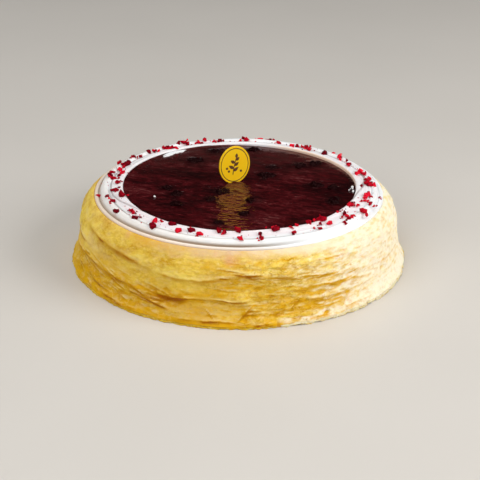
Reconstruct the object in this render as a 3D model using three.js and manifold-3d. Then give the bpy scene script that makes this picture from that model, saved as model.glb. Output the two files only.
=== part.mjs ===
// A round crepe cake: thin crepes stacked and folded down over each other, a smoothed
// ring of cream on top, a pool of dark berry glaze inside the ring with whole berries
// breaking its surface, crumbs of dried berry on the cream, and a plain oval tag.
// Millimetres, +Z up. The origin is the middle of the underside.

import * as THREE from 'three';
import { mergeVertices } from 'three/addons/utils/BufferGeometryUtils.js';
import Module from 'manifold-3d';

const wasm = await Module();
wasm.setup();

// Driving dimensions
const gap = 0.3;              // clearance between touching pieces
const sideSteps = 84;         // divisions round the cake
const sideRows = 27;          // divisions up its side
const ringSteps = 72;         // divisions round the cream ring
const glazeSteps = 60;        // divisions round the glaze

const topCrepe = 44.5;        // height of the top crepe, under cream and glaze
const topRadius = 96.2;       // where the flat top crepe ends and its rim begins
const rimTilt = 0.2;          // the crepes' rim is this much lower at the front, higher behind
const shoulderDrawnIn = 0.5;  // share of its width that the shoulder loses behind

const rimRadius = 78.5;       // inner wall of the cream ring
const creamWidth = 17.3;      // from its inner wall to its thin outer lip
const creamCrest = 51.6;      // top of the cream
const grooveDrift = 1.9;      // the groove spirals out and in by this much
const grooveDriftAngle = 285; // degrees, where the groove lies furthest out
const creamWave = 0.25;       // unevenness of the cream

const glazeLevel = 49.4;      // surface of the glaze
const berrySeat = 45.4;       // underside of the berries and of the tag's stem

const crumbCount = 88;
const crumbSeed = 41;
const crumbRadius = 87.6;     // middle of the band that the crumbs lie in
const crumbDrawnIn = 4.8;     // how much nearer the glaze that band lies at one side
const crumbDrawnInSide = 262; // degrees, the middle of that side
const crumbSpread = 7.6;      // half the width of that band
const crumbSize = [2.3, 4.3]; // across, smallest and largest
const crumbLift = 0.25;       // how high a crumb's middle lies, as a share of its size
const crumbCrowding = 0.12;   // how much closer they lie at two opposite sides than between them
const crumbCrowdedSide = 320; // degrees, the middle of one of those sides
const crumbEdge = 0.8;        // least distance from a crumb's middle to the cream's inner wall

const tag = {
  width: 22.4, height: 26.8, thickness: 1.0, sunk: 0.8,
  stemWidth: 4.0, stemTaper: 0.6, x: -3.2, y: 7.6, turn: 23,
};

const colours = {
  crepe: '#e3bd68', cream: '#f4f1ee', glaze: '#33090f', berry: '#1c060b', tag: '#fdc409',
};

// Side of the stack, radius and height from the plate to the rim of the top crepe
const sideOutline = [
  [114.4, 0], [114.7, 1.4], [112.6, 3.9], [110.8, 8.5], [109.5, 14], [108.5, 20], [107.9, 27],
  [107.1, 32.5], [105.6, 37.6], [103.1, 41.8], [100.4, 44.9], [98.0, 46.4], [96.5, 45.6],
];

// Section of the cream ring: offset out from its inner wall, and height
const creamSection = [
  [0, topCrepe + gap], [creamWidth, topCrepe + gap], [creamWidth, 46.6], [16.9, 47.3], [16.3, 47.3],
  [15.8, 46.4], [15.1, 47.6], [14.4, 49.6], [13.0, 50.8], [11.3, 51.1], [10.2, 50.7], [9.7, 49.9],
  [9.1, 50.5], [7.0, 50.6], [4.6, 50.9], [2.9, 51.4], [1.3, creamCrest], [0.3, 51.1], [0, 50.0],
];

// Edges of crepes folded down over the side. Angles in degrees round the cake, heights
// of the edge at its start, middle and end, how far it stands proud of what is below, how
// far the swelling reaches up, and how quickly the edge falls to the crepe below it.
const folds = [
  { start: 196, end: 245, rise: [39, 36.5, 29.5], proud: 2.0, reach: 8, drop: 2.4 },
  { start: 238, end: 272, rise: [30.5, 27, 33], proud: 1.3, reach: 6, drop: 1.5 },
  { start: 267, end: 293, rise: [34, 33.5, 29], proud: 1.6, reach: 5, drop: 1.1 },
  { start: 282, end: 324, rise: [30.5, 31, 22.5], proud: 1.4, reach: 4.5, drop: 0.8 },
  { start: 184, end: 246, rise: [21, 17.5, 15], proud: 1.7, reach: 6, drop: 2.0 },
  { start: 242, end: 276, rise: [14.5, 20, 16.5], proud: 2.1, reach: 5, drop: 0.5 },
  { start: 286, end: 323, rise: [22, 23.5, 17.5], proud: 1.8, reach: 4.5, drop: 0.7 },
  { start: 229, end: 250, rise: [13, 12.5, 6], proud: 1.5, reach: 4, drop: 0.5 },
  { start: 269, end: 278, rise: [3, 9, 15], proud: 1.2, reach: 3, drop: 0.5 },
  { start: 284, end: 346, rise: [14.5, 15.5, 11], proud: 1.4, reach: 5, drop: 0.8 },
  { start: 193, end: 222, rise: [11, 7, 8], proud: 1.3, reach: 4, drop: 0.9 },
  { start: 300, end: 345, rise: [38.5, 38, 36], proud: 0.8, reach: 4, drop: 1.2 },
  { start: 316, end: 374, rise: [34.5, 29, 27], proud: 1.2, reach: 7, drop: 1.4 },
  { start: 322, end: 376, rise: [21.5, 19, 20], proud: 1.4, reach: 6, drop: 1.1 },
  { start: 203, end: 238, rise: [3.4, 4.6, 2.6], proud: 1.1, reach: 3, drop: 0.6 },
  { start: 246, end: 285, rise: [3.0, 6.4, 2.4], proud: 1.4, reach: 3, drop: 0.6 },
  { start: 290, end: 352, rise: [3.6, 5.6, 4.4], proud: 1.0, reach: 3, drop: 0.6 },
];
const hiddenFoldTurn = 163;   // the same folding is repeated, turned, round the back
const foldSink = 1.0;         // the side lies this much inside its outline between the folds
const hemHeight = 4;          // the lowest crepes spread and fray below this height

// Berries: angle, distance out, width, and how far each stands out of the glaze
const berries = [
  { angle: 123, out: 55.7, width: 13, proud: 2.1 }, { angle: 186, out: 48.9, width: 9, proud: 1.7 },
  { angle: 201, out: 44.2, width: 10, proud: 2.1 }, { angle: 219, out: 52.2, width: 10, proud: 2.2 },
  { angle: 232, out: 30.2, width: 8, proud: 1.4 }, { angle: 226, out: 14.5, width: 11, proud: 1.8 },
  { angle: 105, out: 68.5, width: 9, proud: 1.4 }, { angle: 82, out: 70.5, width: 10, proud: 2.1 },
  { angle: 46, out: 25.5, width: 13, proud: 2.6 }, { angle: 57, out: 41.5, width: 9, proud: 1.5 },
  { angle: 42, out: 57.5, width: 10, proud: 2.0 }, { angle: 39, out: 69.0, width: 9, proud: 2.1 },
  { angle: 3, out: 52.6, width: 10, proud: 2.2 }, { angle: 359, out: 64.0, width: 9, proud: 1.9 },
  { angle: 338, out: 67.0, width: 10, proud: 2.1 }, { angle: 287, out: 26.9, width: 9, proud: 1.7 },
  { angle: 274, out: 48.4, width: 9, proud: 1.6 }, { angle: 259, out: 64.4, width: 8, proud: 1.4 },
];

const radians = THREE.MathUtils.degToRad;
const fade = THREE.MathUtils.smoothstep;

// Evenly random numbers from 0 to 1 that come out the same each time
function seededDraw(seed) {
  let state = seed;
  return () => {
    state = (Math.imul(state, 1664525) + 1013904223) >>> 0;
    return state / 4294967296;
  };
}

// A slow wave round the cake, made of a few sines, each [times round, share, start]
function wave(angle, sines) {
  return sines.reduce((sum, [times, share, start]) => sum + share * Math.sin(times * angle + start), 0);
}

// How far the folded crepes stand out at an angle in degrees and a height
function foldRelief(degrees, height) {
  let relief = 0;
  for (const turn of [0, hiddenFoldTurn]) {
    for (const fold of folds) {
      const along = ((degrees + turn - fold.start + 720) % 360) / (fold.end - fold.start);
      if (along > 1) {
        continue;
      }
      const [low, middle, high] = fold.rise;
      const edge = low * (1 - along) ** 2 + 2 * middle * along * (1 - along) + high * along ** 2;
      const above = height - edge;
      const share = above > 0 ? Math.exp(-above / fold.reach) : Math.exp(above / fold.drop);
      relief += fold.proud * share * fade(along, 0, 0.18) * fade(1 - along, 0, 0.18);
    }
  }
  return relief;
}

// Turns a section round +Z. The section runs anticlockwise, seen with its radius to the
// right and its height up. One that starts and ends on the axis gets a single point there.
function turnedGeometry(section, steps, place) {
  const positions = [];
  const rows = section.map(([radius, height]) => {
    const count = radius === 0 ? 1 : steps;
    const first = positions.length / 3;
    for (let step = 0; step < count; step += 1) {
      positions.push(...place(radius, height, (2 * Math.PI * step) / steps));
    }
    return (step) => first + (step % count);
  });
  const closed = section[0][0] !== 0;
  const index = [];
  for (let row = 0; row < rows.length - (closed ? 0 : 1); row += 1) {
    const lower = rows[row];
    const upper = rows[(row + 1) % rows.length];
    for (let step = 0; step < steps; step += 1) {
      const corners = [lower(step), lower(step + 1), upper(step + 1), upper(step)];
      if (corners[0] !== corners[1]) {
        index.push(corners[0], corners[1], corners[2]);
      }
      if (corners[2] !== corners[3]) {
        index.push(corners[0], corners[2], corners[3]);
      }
    }
  }
  const geometry = new THREE.BufferGeometry();
  geometry.setAttribute('position', new THREE.Float32BufferAttribute(positions, 3));
  geometry.setIndex(index);
  return geometry;
}

function polar(radius, angle, height) {
  return [radius * Math.cos(angle), radius * Math.sin(angle), height];
}

// A closed geometry as a manifold solid, and back again
function solidFrom(geometry) {
  const bare = geometry.clone();
  bare.deleteAttribute('normal');
  bare.deleteAttribute('uv');
  const merged = mergeVertices(bare, 1e-4);
  return new wasm.Manifold(new wasm.Mesh({
    numProp: 3,
    vertProperties: new Float32Array(merged.attributes.position.array),
    triVerts: new Uint32Array(merged.index.array),
  }));
}

function geometryFrom(solid) {
  const mesh = solid.getMesh();
  const geometry = new THREE.BufferGeometry();
  geometry.setAttribute('position', new THREE.BufferAttribute(new Float32Array(mesh.vertProperties), 3));
  geometry.setIndex(new THREE.BufferAttribute(new Uint32Array(mesh.triVerts), 1));
  return geometry;
}

// The stack of crepes, with folded edges in relief and a frayed hem on the plate
function cakeGeometry() {
  const outline = new THREE.SplineCurve(sideOutline.map(([radius, height]) => (
    new THREE.Vector2(radius, height)
  )));
  const side = outline.getPoints(sideRows).map((point) => [point.x, point.y]);
  const section = [[0, 0], ...side, [topRadius, topCrepe], [0, topCrepe]];
  const [rimEdge] = sideOutline[sideOutline.length - 1];
  return turnedGeometry(section, sideSteps, (radius, height, angle) => {
    if (radius < topRadius + 0.1) {
      return polar(radius, angle, height);
    }
    const degrees = THREE.MathUtils.radToDeg(angle);
    const onSide = fade(height, 0.5, 6) * fade(47 - height, 0, 9);
    const inHem = fade(hemHeight - height, 0, hemHeight);
    const swell = wave(angle, [[3, 0.35, 0.4], [7, 0.25, 2.1], [13, 0.15, 1.3]]);
    const fray = wave(angle, [[11, 0.45, 0.9], [23, 0.35, 2.6], [37, 0.3, 0.2]]);
    const relief = foldRelief(degrees, height) - foldSink;
    const tilt = rimTilt * Math.sin(angle) * fade(height, 36, 47);
    const behind = fade(Math.sin(angle), 0.1, 0.35) * fade(height, 32, 42);
    const drawnIn = shoulderDrawnIn * (radius - rimEdge) * behind;
    const out = radius + onSide * (relief + swell) + inHem * fray - drawnIn;
    return polar(out, angle, height + tilt);
  });
}

// Radius of the cream's inner wall, which the glaze follows
function rimAt(angle) {
  return rimRadius + wave(angle, [[3, 0.3, 1.1], [5, 0.2, 0.3]]);
}

// The cream's own point for an offset from its inner wall and a height
function creamPoint(offset, height, angle) {
  const onTop = fade(height, 46, 50);
  const pull = fade(offset, 2, 9) * fade(creamWidth - offset, 0, 6);
  const inner = rimRadius + (rimAt(angle) - rimRadius) * fade(creamWidth - offset, 0, 9);
  const drift = grooveDrift * Math.cos(angle - radians(grooveDriftAngle)) * pull;
  const lift = onTop * creamWave * wave(angle, [[2, 0.6, 0.5], [5, 0.5, 1.9], [9, 0.4, 0.7]]);
  return polar(inner + offset + drift, angle, height + lift);
}

// Height of the cream's surface at an offset, read from its section
function creamHeight(offset) {
  for (let index = 3; index < creamSection.length - 1; index += 1) {
    const [outer, outerHeight] = creamSection[index];
    const [inner, innerHeight] = creamSection[index + 1];
    if (offset <= outer && offset >= inner) {
      return innerHeight + ((outerHeight - innerHeight) * (offset - inner)) / (outer - inner);
    }
  }
  return creamCrest;
}

// One crumb of dried berry: a chip with uneven corners
function crumbGeometry(size, draw) {
  const block = new THREE.OctahedronGeometry(size / 2, 0);
  block.deleteAttribute('normal');
  block.deleteAttribute('uv');
  const chip = mergeVertices(block, 1e-3);
  const position = chip.attributes.position;
  for (let corner = 0; corner < position.count; corner += 1) {
    const push = 0.8 + 0.5 * draw();
    position.setXYZ(corner, position.getX(corner) * push, position.getY(corner) * push,
      position.getZ(corner) * push);
  }
  chip.rotateX(Math.PI * draw());
  chip.scale(1.0 + 0.7 * draw(), 0.9, 0.8);
  chip.rotateZ(2 * Math.PI * draw());
  return chip;
}

// The cream ring with its crumbs joined on
function creamGeometry() {
  const draw = seededDraw(crumbSeed);
  const section = creamSection.map(([offset, height]) => [rimRadius + offset, height]);
  let cream = solidFrom(turnedGeometry(section, ringSteps, (radius, height, angle) => (
    creamPoint(radius - rimRadius, height, angle)
  )));
  for (let count = 0; count < crumbCount; count += 1) {
    const even = radians((360 * (count + 1.6 * (draw() - 0.5))) / crumbCount);
    const angle = even - crumbCrowding * Math.sin(2 * (even - radians(crumbCrowdedSide)));
    const drawnIn = crumbDrawnIn * Math.max(Math.cos(angle - radians(crumbDrawnInSide)), 0) ** 2;
    const middle = crumbRadius - rimRadius - drawnIn;
    const offset = Math.max(middle + crumbSpread * (draw() + draw() - 1), crumbEdge);
    const size = crumbSize[0] + (crumbSize[1] - crumbSize[0]) * draw() ** 1.5;
    const chip = crumbGeometry(size, draw);
    const [x, y, height] = creamPoint(offset, creamHeight(offset), angle);
    chip.translate(x, y, height + crumbLift * size);
    cream = cream.add(solidFrom(chip));
  }
  return geometryFrom(cream);
}

// A berry softened by cooking, lying in the glaze; grow widens it for the hollow it lies in
function berryGeometry(berry, grow) {
  const half = berry.width / 2 + grow;
  const bottom = berrySeat - grow;
  const top = glazeLevel + berry.proud + grow;
  const middle = (bottom + top) / 2;
  const [x, y] = polar(berry.out, radians(berry.angle), 0);
  const section = [];
  const levels = 5;
  for (let level = 0; level <= levels; level += 1) {
    const tilt = Math.PI * (level / levels - 0.5);
    const radius = level % levels === 0 ? 0 : half * Math.cos(tilt);
    section.push([radius, middle + ((top - bottom) / 2) * Math.sin(tilt)]);
  }
  return turnedGeometry(section, 8, (radius, height, angle) => {
    const dent = 1 + 0.07 * Math.sin(2 * angle + berry.angle) + 0.04 * Math.sin(3 * angle + berry.out);
    const [ownX, ownY] = polar(radius * dent, angle, height);
    return [x + ownX, y + ownY, height];
  });
}

// Outline of the tag and its stem, upright, with the lowest point of the oval at zero
function tagGeometry(grow) {
  const halfWidth = tag.width / 2 + grow;
  const halfHeight = tag.height / 2 + grow;
  const stemTop = tag.stemWidth / 2 + grow;
  const stemFoot = tag.stemTaper + grow;
  const foot = berrySeat - glazeLevel + tag.sunk - grow;
  const outline = new THREE.Shape();
  const opening = Math.asin(stemTop / halfWidth);
  outline.moveTo(-stemFoot, foot);
  outline.lineTo(stemFoot, foot);
  outline.lineTo(stemTop, halfHeight * (1 - Math.cos(opening)) - grow);
  outline.absellipse(0, halfHeight - grow, halfWidth, halfHeight, opening - Math.PI / 2,
    1.5 * Math.PI - opening, false);
  outline.closePath();
  const depth = tag.thickness + 2 * grow;
  const card = new THREE.ExtrudeGeometry(outline, { depth, bevelEnabled: false, curveSegments: 28 });
  card.translate(0, 0, -depth / 2);
  card.rotateX(Math.PI / 2);
  card.rotateZ(radians(tag.turn));
  card.translate(tag.x, tag.y, glazeLevel - tag.sunk);
  return card;
}

// The pool of glaze, with hollows where the berries and the tag stand in it
function glazeGeometry() {
  const section = [
    [0, topCrepe + gap], [rimRadius, topCrepe + gap], [rimRadius, 49.2], [76.5, glazeLevel],
    [50, glazeLevel], [24, glazeLevel], [0, glazeLevel],
  ];
  let pool = solidFrom(turnedGeometry(section, glazeSteps, (radius, height, angle) => (
    polar((radius / rimRadius) * (rimAt(angle) - gap), angle, height)
  )));
  for (const berry of berries) {
    pool = pool.subtract(solidFrom(berryGeometry(berry, gap)));
  }
  pool = pool.subtract(solidFrom(tagGeometry(gap)));
  return geometryFrom(pool);
}

function piece(name, geometry, colour, roughness) {
  const material = new THREE.MeshStandardMaterial({ color: colour, roughness, metalness: 0 });
  const mesh = new THREE.Mesh(geometry, material);
  mesh.name = name;
  return mesh;
}

const group = new THREE.Group();
group.add(
  piece('crepe_cake', cakeGeometry(), colours.crepe, 0.6),
  piece('cream_ring', creamGeometry(), colours.cream, 0.45),
  piece('berry_glaze', glazeGeometry(), colours.glaze, 0.08),
  piece('cake_tag', tagGeometry(0), colours.tag, 0.35),
);
berries.forEach((berry, number) => {
  const name = `berry_${String(number + 1).padStart(2, '0')}`;
  group.add(piece(name, berryGeometry(berry, 0), colours.berry, 0.15));
});

export default group;
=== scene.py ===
import math
from types import SimpleNamespace

import bpy
import numpy as np
from mathutils import Matrix, Vector, noise


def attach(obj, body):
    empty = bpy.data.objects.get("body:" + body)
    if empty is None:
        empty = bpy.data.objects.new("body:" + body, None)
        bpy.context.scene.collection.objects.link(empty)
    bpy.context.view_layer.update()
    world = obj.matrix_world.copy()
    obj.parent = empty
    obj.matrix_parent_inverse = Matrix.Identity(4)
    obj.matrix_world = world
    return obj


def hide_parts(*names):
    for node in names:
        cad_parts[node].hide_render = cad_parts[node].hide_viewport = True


# A crepe cake with a cream ring, berry glaze, dried berry crumbs and a plain oval tag.
# The dictionaries are in millimetres and degrees; meshes are in metres. Angles run from +X against
# the clock, seen from above, so the front is at 270.

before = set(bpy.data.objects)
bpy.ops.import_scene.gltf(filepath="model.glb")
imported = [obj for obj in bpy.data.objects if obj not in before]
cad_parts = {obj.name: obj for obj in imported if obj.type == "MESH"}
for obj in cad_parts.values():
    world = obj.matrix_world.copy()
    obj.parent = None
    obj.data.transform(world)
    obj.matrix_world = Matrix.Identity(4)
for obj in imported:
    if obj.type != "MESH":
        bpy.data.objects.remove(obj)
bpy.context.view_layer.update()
metre = 0.001
fullTurn = 2 * math.pi


def toLinear(hexColour):
    # an sRGB colour such as "e8c070" as the linear values that a shader takes
    values = [int(hexColour[i:i + 2], 16) / 255 for i in (0, 2, 4)]
    return tuple(v / 12.92 if v <= 0.04045 else ((v + 0.055) / 1.055) ** 2.4 for v in values) + (1.0,)


def addNode(tree, kind, inputs=None, **settings):
    # one node with its settings; an input takes a value, a node's first output or a socket
    node = tree.nodes.new(kind)
    for name, value in settings.items():
        setattr(node, name, value)
    for key, value in (inputs or {}).items():
        if isinstance(value, bpy.types.NodeSocket):
            tree.links.new(value, node.inputs[key])
        elif isinstance(value, bpy.types.Node):
            tree.links.new(value.outputs[0], node.inputs[key])
        else:
            node.inputs[key].default_value = value
    return node


def workOut(tree, known, steps):
    # a sum in steps, one node each: the step's name, what is done, and what it is done to, which are
    # numbers or the names of steps and sockets that are known by then
    for name, operation, *values in steps:
        inputs = {index: known.get(value, value) for index, value in enumerate(values)}
        if operation in ("LINEAR", "SMOOTHSTEP"):
            node = addNode(tree, "ShaderNodeMapRange", inputs, interpolation_type=operation)
        else:
            node = addNode(tree, "ShaderNodeMath", inputs, operation=operation)
        known[name] = node.outputs[0]


def newMaterial(name, **shaderInputs):
    # a material with its shader's fixed values set on the shader itself
    material = bpy.data.materials.new(name)
    material.use_nodes = True
    tree = material.node_tree
    shader = tree.nodes["Principled BSDF"]
    for key, value in shaderInputs.items():
        shader.inputs[key.replace("_", " ")].default_value = value
    return material, tree, shader


def mottledMaterial(name, darker, lighter, scale, detail=2.0, relief=None, **shaderInputs):
    # a material of two close tones, mixed by noise that may also stand in relief: strength and depth
    material, tree, shader = newMaterial(name, **shaderInputs)
    place = addNode(tree, "ShaderNodeTexCoord").outputs["Object"]
    mottle = addNode(tree, "ShaderNodeTexNoise", {"Vector": place, "Scale": scale, "Detail": detail})
    tint = addNode(tree, "ShaderNodeMix", {
        0: mottle, 6: toLinear(darker), 7: toLinear(lighter)}, data_type="RGBA")
    tree.links.new(tint.outputs[2], shader.inputs["Base Color"])
    if relief:
        bump = addNode(tree, "ShaderNodeBump", {
            "Height": mottle, "Strength": relief[0], "Distance": relief[1]})
        tree.links.new(bump.outputs[0], shader.inputs["Normal"])
    return material


def fade(value, low, high):
    share = np.clip((value - low) / (high - low), 0.0, 1.0)
    return share * share * (3 - 2 * share)


def within(degrees, start, full, ebb, end):
    # 1 between two angles, with a soft start and a soft end
    return fade(degrees, start, full) * fade(end - degrees, 0, end - ebb)


def facing(angle, side):
    # 1 where an angle in radians looks to a side in degrees, -1 on the far side
    return np.cos(angle - math.radians(side))


def bell(value, width):
    return np.exp(-(value / width) ** 2)


def wave(angle, sines):
    return sum(share * np.sin(times * angle + start) for times, share, start in sines)


def splinePoints(points, count):
    # an even Catmull-Rom curve through the points
    points = np.array(points, float)
    places = np.linspace(0, len(points) - 1, count + 1)
    first = np.minimum(places.astype(int), len(points) - 2)
    share = (places - first)[:, None]
    before, start = points[np.maximum(first - 1, 0)], points[first]
    end, after = points[first + 1], points[np.minimum(first + 2, len(points) - 1)]
    leave, arrive = (end - before) / 2, (after - start) / 2
    return ((2 * start - 2 * end + leave + arrive) * share ** 3
            + (3 * end - 3 * start - 2 * leave - arrive) * share ** 2 + leave * share + start)


def seededDraw(seed):
    # evenly random numbers that come out the same each time, as the solids use them
    state = seed
    while True:
        state = (state * 1664525 + 1013904223) & 0xFFFFFFFF
        yield state / 4294967296


def roughField(points, size, seed, octaves=3):
    # smooth noise from -1 to 1 at points in millimetres, with features of the given size
    offset = Vector((seed * 13.7, seed * 7.3, seed * 3.1))
    return np.array([
        noise.fractal(Vector(point) / size + offset, 0.9, 2.0, octaves, noise_basis="PERLIN_ORIGINAL")
        for point in points
    ])


def onCircle(radius, angle, height):
    # points at a radius and an angle round the cake's axis
    return np.column_stack([radius * np.cos(angle), radius * np.sin(angle), height])


def meshPiece(name, points, faces, material, smooth=True, **values):
    # a piece from points in millimetres; each extra value is stored per point
    mesh = bpy.data.meshes.new(name)
    mesh.from_pydata((np.asarray(points) * metre).tolist(), [], faces)
    mesh.materials.append(material)
    mesh.polygons.foreach_set("use_smooth", [smooth] * len(mesh.polygons))
    storeValues(mesh, values)
    mesh.update()
    piece = bpy.data.objects.new(name, mesh)
    bpy.context.scene.collection.objects.link(piece)
    return piece


def storeValues(mesh, values):
    for key, value in values.items():
        attribute = mesh.attributes.new(key, "FLOAT", "POINT")
        attribute.data.foreach_set("value", np.asarray(value, np.float32))


def turnedFaces(rows, steps):
    # faces for rows of points that run round an axis, with a single point at each end
    faces = []
    for row in range(rows - 1):
        low, high = 1 + (row - 1) * steps, 1 + row * steps
        for step in range(steps):
            after = (step + 1) % steps
            if row == 0:
                faces.append((0, high + after, high + step))
            elif row == rows - 2:
                faces.append((low + step, low + after, high))
            else:
                faces.append((low + step, low + after, high + after, high + step))
    return faces


def ball(steps, rows):
    # a ball of radius 1: its points, how far round it each lies, and its faces
    around = np.tile(np.linspace(0, fullTurn, steps, endpoint=False), rows - 2)
    up = np.repeat(np.linspace(-math.pi / 2, math.pi / 2, rows)[1:-1], steps)
    points = np.vstack([[(0, 0, -1)], onCircle(np.cos(up), around, np.sin(up)), [(0, 0, 1)]])
    return points, np.concatenate([[0], around, [0]]), turnedFaces(rows, steps)


def settle(piece, nodes):
    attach(piece, "root")
    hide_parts(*nodes)
    return piece


camera = {
    "lens": 105.0, "sensor": 36.0, "distance": 962.0, "elevation": 24.2,
    "aimRight": 1.1, "aimHeight": 9.6, "roll": 0.6,
}


def makeCamera():
    data = bpy.data.cameras.new("camera")
    data.lens, data.sensor_width = camera["lens"], camera["sensor"]
    view = bpy.data.objects.new("camera", data)
    bpy.context.scene.collection.objects.link(view)
    tilt = math.radians(camera["elevation"])
    away = camera["distance"]
    place = Vector((camera["aimRight"], -away * math.cos(tilt), camera["aimHeight"] + away * math.sin(tilt)))
    upright = Matrix.Rotation(math.pi / 2 - tilt, 4, "X")
    rolled = Matrix.Rotation(math.radians(camera["roll"]), 4, "Z")
    view.matrix_world = Matrix.Translation(place * metre) @ upright @ rolled
    bpy.context.scene.camera = view
    print("camera is in place")


studio = {
    # soft boxes: width and height in metres, watts, azimuth, elevation, distance in metres and colour
    "lamps": {
        "windowLight": ((1.1, 0.9), 18.6, 338, 31, 1.5, "fffdfb"),
        "overheadLight": ((1.3, 1.3), 9.6, 185, 72, 1.5, "ffffff"),
        "frontFill": ((1.4, 0.8), 12.4, 236, 30, 1.8, "fffefc"),
    },
    "aimHeight": 0.03,
    # the room is dim, and brighter overhead: from which share of straight up, to which, and strengths
    "room": "fbf8f3", "bright": (0.62, 0.9), "strengths": (0.02, 0.5),
    "floorHalf": 3000, "floorTones": ("cdc9c3", "d4d0ca"),
}


def makeLamp(name, size, power, azimuth, elevation, distance, colour):
    data = bpy.data.lights.new(name, "AREA")
    data.shape, data.size, data.size_y = "RECTANGLE", size[0], size[1]
    data.energy, data.color = power, toLinear(colour)[:3]
    lamp = bpy.data.objects.new(name, data)
    bpy.context.scene.collection.objects.link(lamp)
    turn, tilt = math.radians(azimuth), math.radians(elevation)
    towards = Vector((math.cos(turn) * math.cos(tilt), math.sin(turn) * math.cos(tilt), math.sin(tilt)))
    lamp.location = towards * distance + Vector((0, 0, studio["aimHeight"]))
    lamp.rotation_mode = "QUATERNION"
    lamp.rotation_quaternion = towards.to_track_quat("Z", "Y")


def makeStudio():
    for name, values in studio["lamps"].items():
        makeLamp(name, *values)
    bpy.context.scene.view_settings.view_transform = "Standard"
    world = bpy.data.worlds.new("studio")
    bpy.context.scene.world = world
    world.use_nodes = True
    tree = world.node_tree
    background = tree.nodes["Background"]
    direction = addNode(tree, "ShaderNodeTexCoord")
    height = addNode(tree, "ShaderNodeSeparateXYZ", {0: direction.outputs["Generated"]})
    known = {"height": height.outputs["Z"]}
    workOut(tree, known, [("strength", "LINEAR", "height", *studio["bright"], *studio["strengths"])])
    tree.links.new(known["strength"], background.inputs["Strength"])
    background.inputs["Color"].default_value = toLinear(studio["room"])

    # a matt board with a faint mottle, so that the cake's shadow has something to lie on
    material = mottledMaterial("matt painted board", *studio["floorTones"], 6.0, Roughness=0.55)
    half = studio["floorHalf"]
    corners = [(-half, -half, 0), (half, -half, 0), (half, half, 0), (-half, half, 0)]
    meshPiece("studioFloor", corners, [(0, 1, 2, 3)], material, smooth=False)
    print("studio is lit")


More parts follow.
